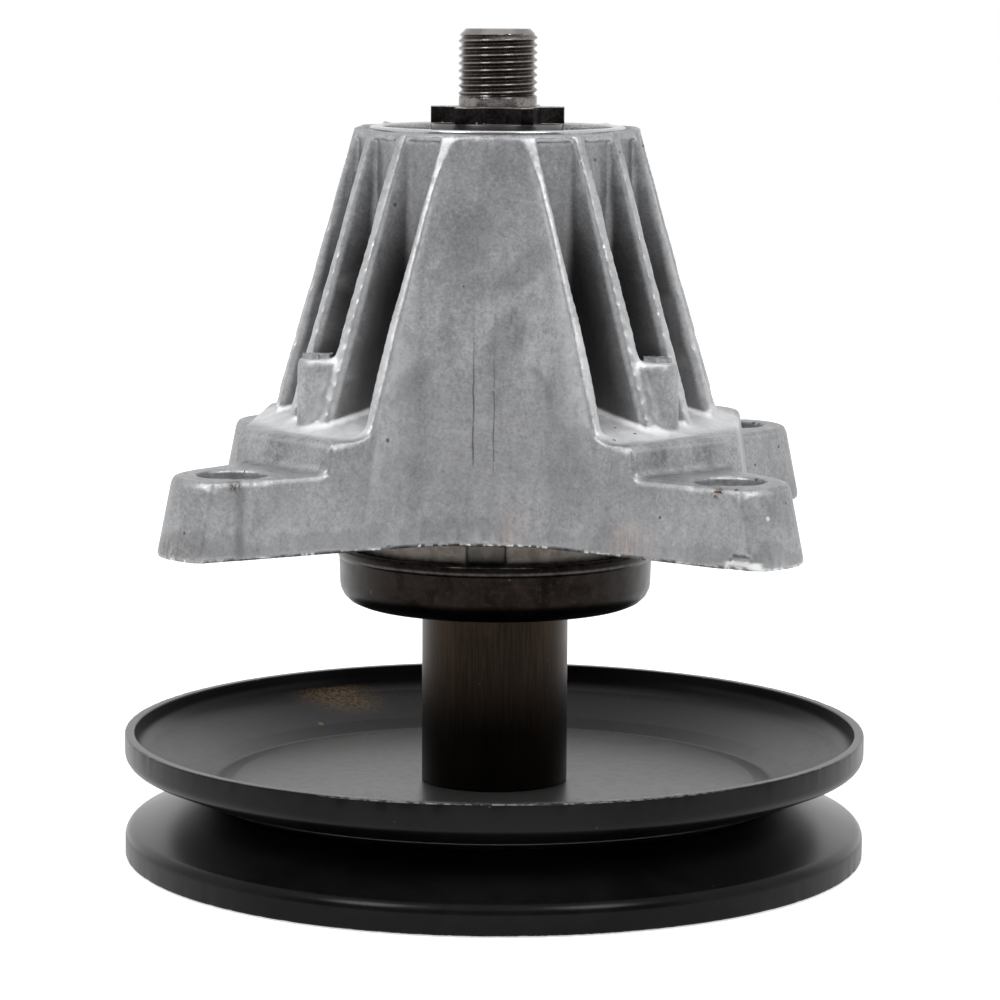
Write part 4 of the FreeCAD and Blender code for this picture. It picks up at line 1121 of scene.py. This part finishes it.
upper = sheave("upper_sheave", 1, "pulley_upper_sheave")
lower = sheave("lower_sheave", -1, "pulley_lower_sheave")
spacer = new_piece("spacer_tube", lathe("spacer_tube", [
    (BORE, WEB_TOP, 0.3),
    (TUBE_RADIUS, WEB_TOP, 0.4),
    (TUBE_RADIUS, CAP_SEAT, 0.4),
    (BORE, CAP_SEAT, 0.3),
]), "spindle", ["pulley_spacer"])
cap = new_piece("cap_cup", lathe("cap_cup", [
    (CAP_HOLE, CAP_SEAT, 0),
    (CAP_HOLE, CAP_FOOT, 0.3),
    (31.8, CAP_FOOT, 4.3),
    (32.1, 61.5, 0.4),
    (32.4, 62.0, 0.4),
    (32.5, CAP_TOP, 0.5),
    (30.6, CAP_TOP, 0.3),
    (30.3, CAP_FLOOR, 3.1),
    (CAP_HUB, CAP_FLOOR, 0.3),
    (CAP_HUB, CAP_HUB_TOP, 0.3),
    (BORE, CAP_HUB_TOP, 0),
    (BORE, CAP_SEAT, 0),
]), "spindle", ["dust_cap"])
nut_mesh = bevelled("pulley_nut", "flange_nut", 0.2)
nut = new_piece("flange_nut", nut_mesh, "spindle", ["pulley_nut"])

# Finishes
def coat(piece, finish):
    piece.data.materials.append(finish)


skin = cast_aluminium()
for cast_piece in [casting] + plates:
    coat(cast_piece, skin)
coat(ring, turned_steel("turned_aluminium", (0.42, 0.422, 0.43), (0.6, 0.602, 0.61),
                        0.2, 2.2, 0.25, (0.3, 0.29, 0.28)))
coat(thread, thread_steel())
coat(shaft, shaft_steel())
coat(upper, black_paint("upper_paint", 0.14, 0.12))
coat(lower, black_paint("lower_paint", 0.14, 0.1))
tube_finish = spacer_steel()
coat(spacer, tube_finish)
coat(cap, cap_steel())
coat(nut, zinc_nut())
race_finish = turned_steel("race_steel", (0.5, 0.5, 0.51), (0.64, 0.64, 0.65),
                           0.18, 3.0, 0.15, (0.3, 0.27, 0.24))
ball_finish = turned_steel("ball_steel", (0.58, 0.58, 0.59), (0.66, 0.66, 0.67),
                           0.12, 0.6, 0.1, (0.4, 0.38, 0.36))
rubber = moulded("seal_rubber", (0.008, 0.008, 0.0082), (0.016, 0.0156, 0.0155), 0.5, 3.6)
polymer = moulded("cage_polymer", (0.3, 0.25, 0.15), (0.4, 0.345, 0.225), 0.42, 2.0)
for name, node in nodes.items():
    if "seal" in name:
        finish = rubber
    elif "cage" in name:
        finish = polymer
    elif "balls" in name:
        finish = ball_finish
    elif "bearing_spacer" in name:
        finish = tube_finish
    else:
        finish = race_finish
    node.data.materials.clear()
    coat(node, finish)

# Stage: pale floor, white surround and soft light from both sides
FLOOR_REACH = 4000
FLOOR_HEIGHT = -0.3
FLOOR_GLOW = 0.64
FLOOR_COLOUR = (0.86, 0.86, 0.86, 1)
WHITE = (1, 1, 1, 1)
floor_points = []
for across, along in ((-1, -1), (1, -1), (1, 1), (-1, 1)):
    floor_points.append((across * FLOOR_REACH, along * FLOOR_REACH, FLOOR_HEIGHT))
floor_mesh = mesh_from("floor", floor_points, [(0, 1, 2, 3)])
floor = placed("floor", floor_mesh)


def seen_directly(tree):
    # 1 for what the camera sees straight away, in a reflection or through glass
    path = new_node(tree, "LightPath")
    share = path.outputs["Is Camera Ray"]
    for kind in ("Is Glossy Ray", "Is Transmission Ray"):
        larger = new_node(tree, "Math")
        larger.operation = "MAXIMUM"
        feed(tree, larger.inputs[0], share)
        feed(tree, larger.inputs[1], path.outputs[kind])
        share = larger.outputs[0]
    return share


floor_finish = bpy.data.materials.new("floor")
floor_finish.use_nodes = True
tree = floor_finish.node_tree
tree.nodes.clear()
lift = new_node(tree, "Math")
lift.operation = "MULTIPLY"
feed(tree, lift.inputs[0], seen_directly(tree))
feed(tree, lift.inputs[1], FLOOR_GLOW)
matt = new_node(tree, "BsdfDiffuse", Color=FLOOR_COLOUR)
glow = new_node(tree, "Emission", Color=WHITE, Strength=lift.outputs[0])
both = new_node(tree, "AddShader")
feed(tree, both.inputs[0], matt.outputs[0])
feed(tree, both.inputs[1], glow.outputs[0])
new_node(tree, "OutputMaterial", Surface=both.outputs[0])
floor_mesh.materials.append(floor_finish)

# The white sweep is what the camera sees and what metal reflects; it lights the rest at a lower level
SURROUND = 0.45
world = bpy.data.worlds.new("surround")
scene.world = world
world.use_nodes = True
tree = world.node_tree
tree.nodes.clear()
level = new_node(tree, "MapRange", Value=seen_directly(tree))
level.inputs["To Min"].default_value = SURROUND
level.inputs["To Max"].default_value = 1.0
white = new_node(tree, "Background", Color=WHITE, Strength=level.outputs[0])
new_node(tree, "OutputWorld", Surface=white.outputs[0])


# Dark cloth behind the camera, curved round it, so that what faces the camera reflects a dim room
def dark_cloth():
    reach = 2200
    height = 1500
    half_spread = 62
    columns = 24
    points = []
    for k in range(columns + 1):
        turn = math.radians(-90 - half_spread + 2 * half_spread * k / columns)
        for z in (-0.2, height):
            points.append((reach * math.cos(turn), reach * math.sin(turn), z))
    faces = [(2 * k, 2 * k + 2, 2 * k + 3, 2 * k + 1) for k in range(columns)]
    mesh = mesh_from("dark_cloth", points, faces)
    cloth = placed("dark_cloth", mesh)
    cloth.visible_camera = False
    finish = bpy.data.materials.new("dark_cloth")
    finish.use_nodes = True
    shader = finish.node_tree.nodes["Principled BSDF"]
    shader.inputs["Base Color"].default_value = (0.25, 0.25, 0.25, 1)
    shader.inputs["Roughness"].default_value = 0.9
    mesh.materials.append(finish)


dark_cloth()


def lamp(name, place, aim, width, height, watts):
    data = bpy.data.lights.new(name, "AREA")
    data.shape = "RECTANGLE"
    data.size = width
    data.size_y = height
    data.energy = watts
    item = placed(name, data)
    item.location = place
    item.rotation_mode = "QUATERNION"
    item.rotation_quaternion = (Vector(aim) - Vector(place)).to_track_quat("-Z", "Y")


lamp("left_light", (-0.85, -0.95, 1.25), (0, 0, 0.09), 0.5, 0.7, 13)
lamp("right_light", (0.80, -0.95, 1.25), (0, 0, 0.09), 0.5, 0.7, 10.5)
lamp("top_light", (0, 0.3, 1.5), (0, 0, 0.1), 1.2, 0.9, 2)

# Camera in front, a little above the part's top and looking slightly down, in metres as the lamps are
CAMERA_AWAY = 0.790
CAMERA_HEIGHT = 0.1798
CAMERA_TURN = math.radians(3.7)
PITCH_DOWN = math.radians(7.71)
YAW = math.radians(0.065)
ROLL = math.radians(-0.32)
SENSOR_WIDTH = 36
LENS = 139.7
right = Vector((math.cos(YAW), -math.sin(YAW), 0))
level_share = math.cos(PITCH_DOWN)
ahead = Vector((math.sin(YAW) * level_share, math.cos(YAW) * level_share, -math.sin(PITCH_DOWN)))
upward = right.cross(ahead)
rolled_right = right * math.cos(ROLL) - upward * math.sin(ROLL)
rolled_up = right * math.sin(ROLL) + upward * math.cos(ROLL)
pose = Matrix((rolled_right, rolled_up, -ahead)).transposed().to_4x4()
pose.translation = Vector((0, -CAMERA_AWAY, CAMERA_HEIGHT))
camera_data = bpy.data.cameras.new("camera")
camera_data.sensor_width = SENSOR_WIDTH
camera_data.lens = LENS
camera = placed("camera", camera_data)
camera.matrix_world = Matrix.Rotation(CAMERA_TURN, 4, "Z") @ pose
scene.camera = camera
scene.view_settings.view_transform = "Standard"
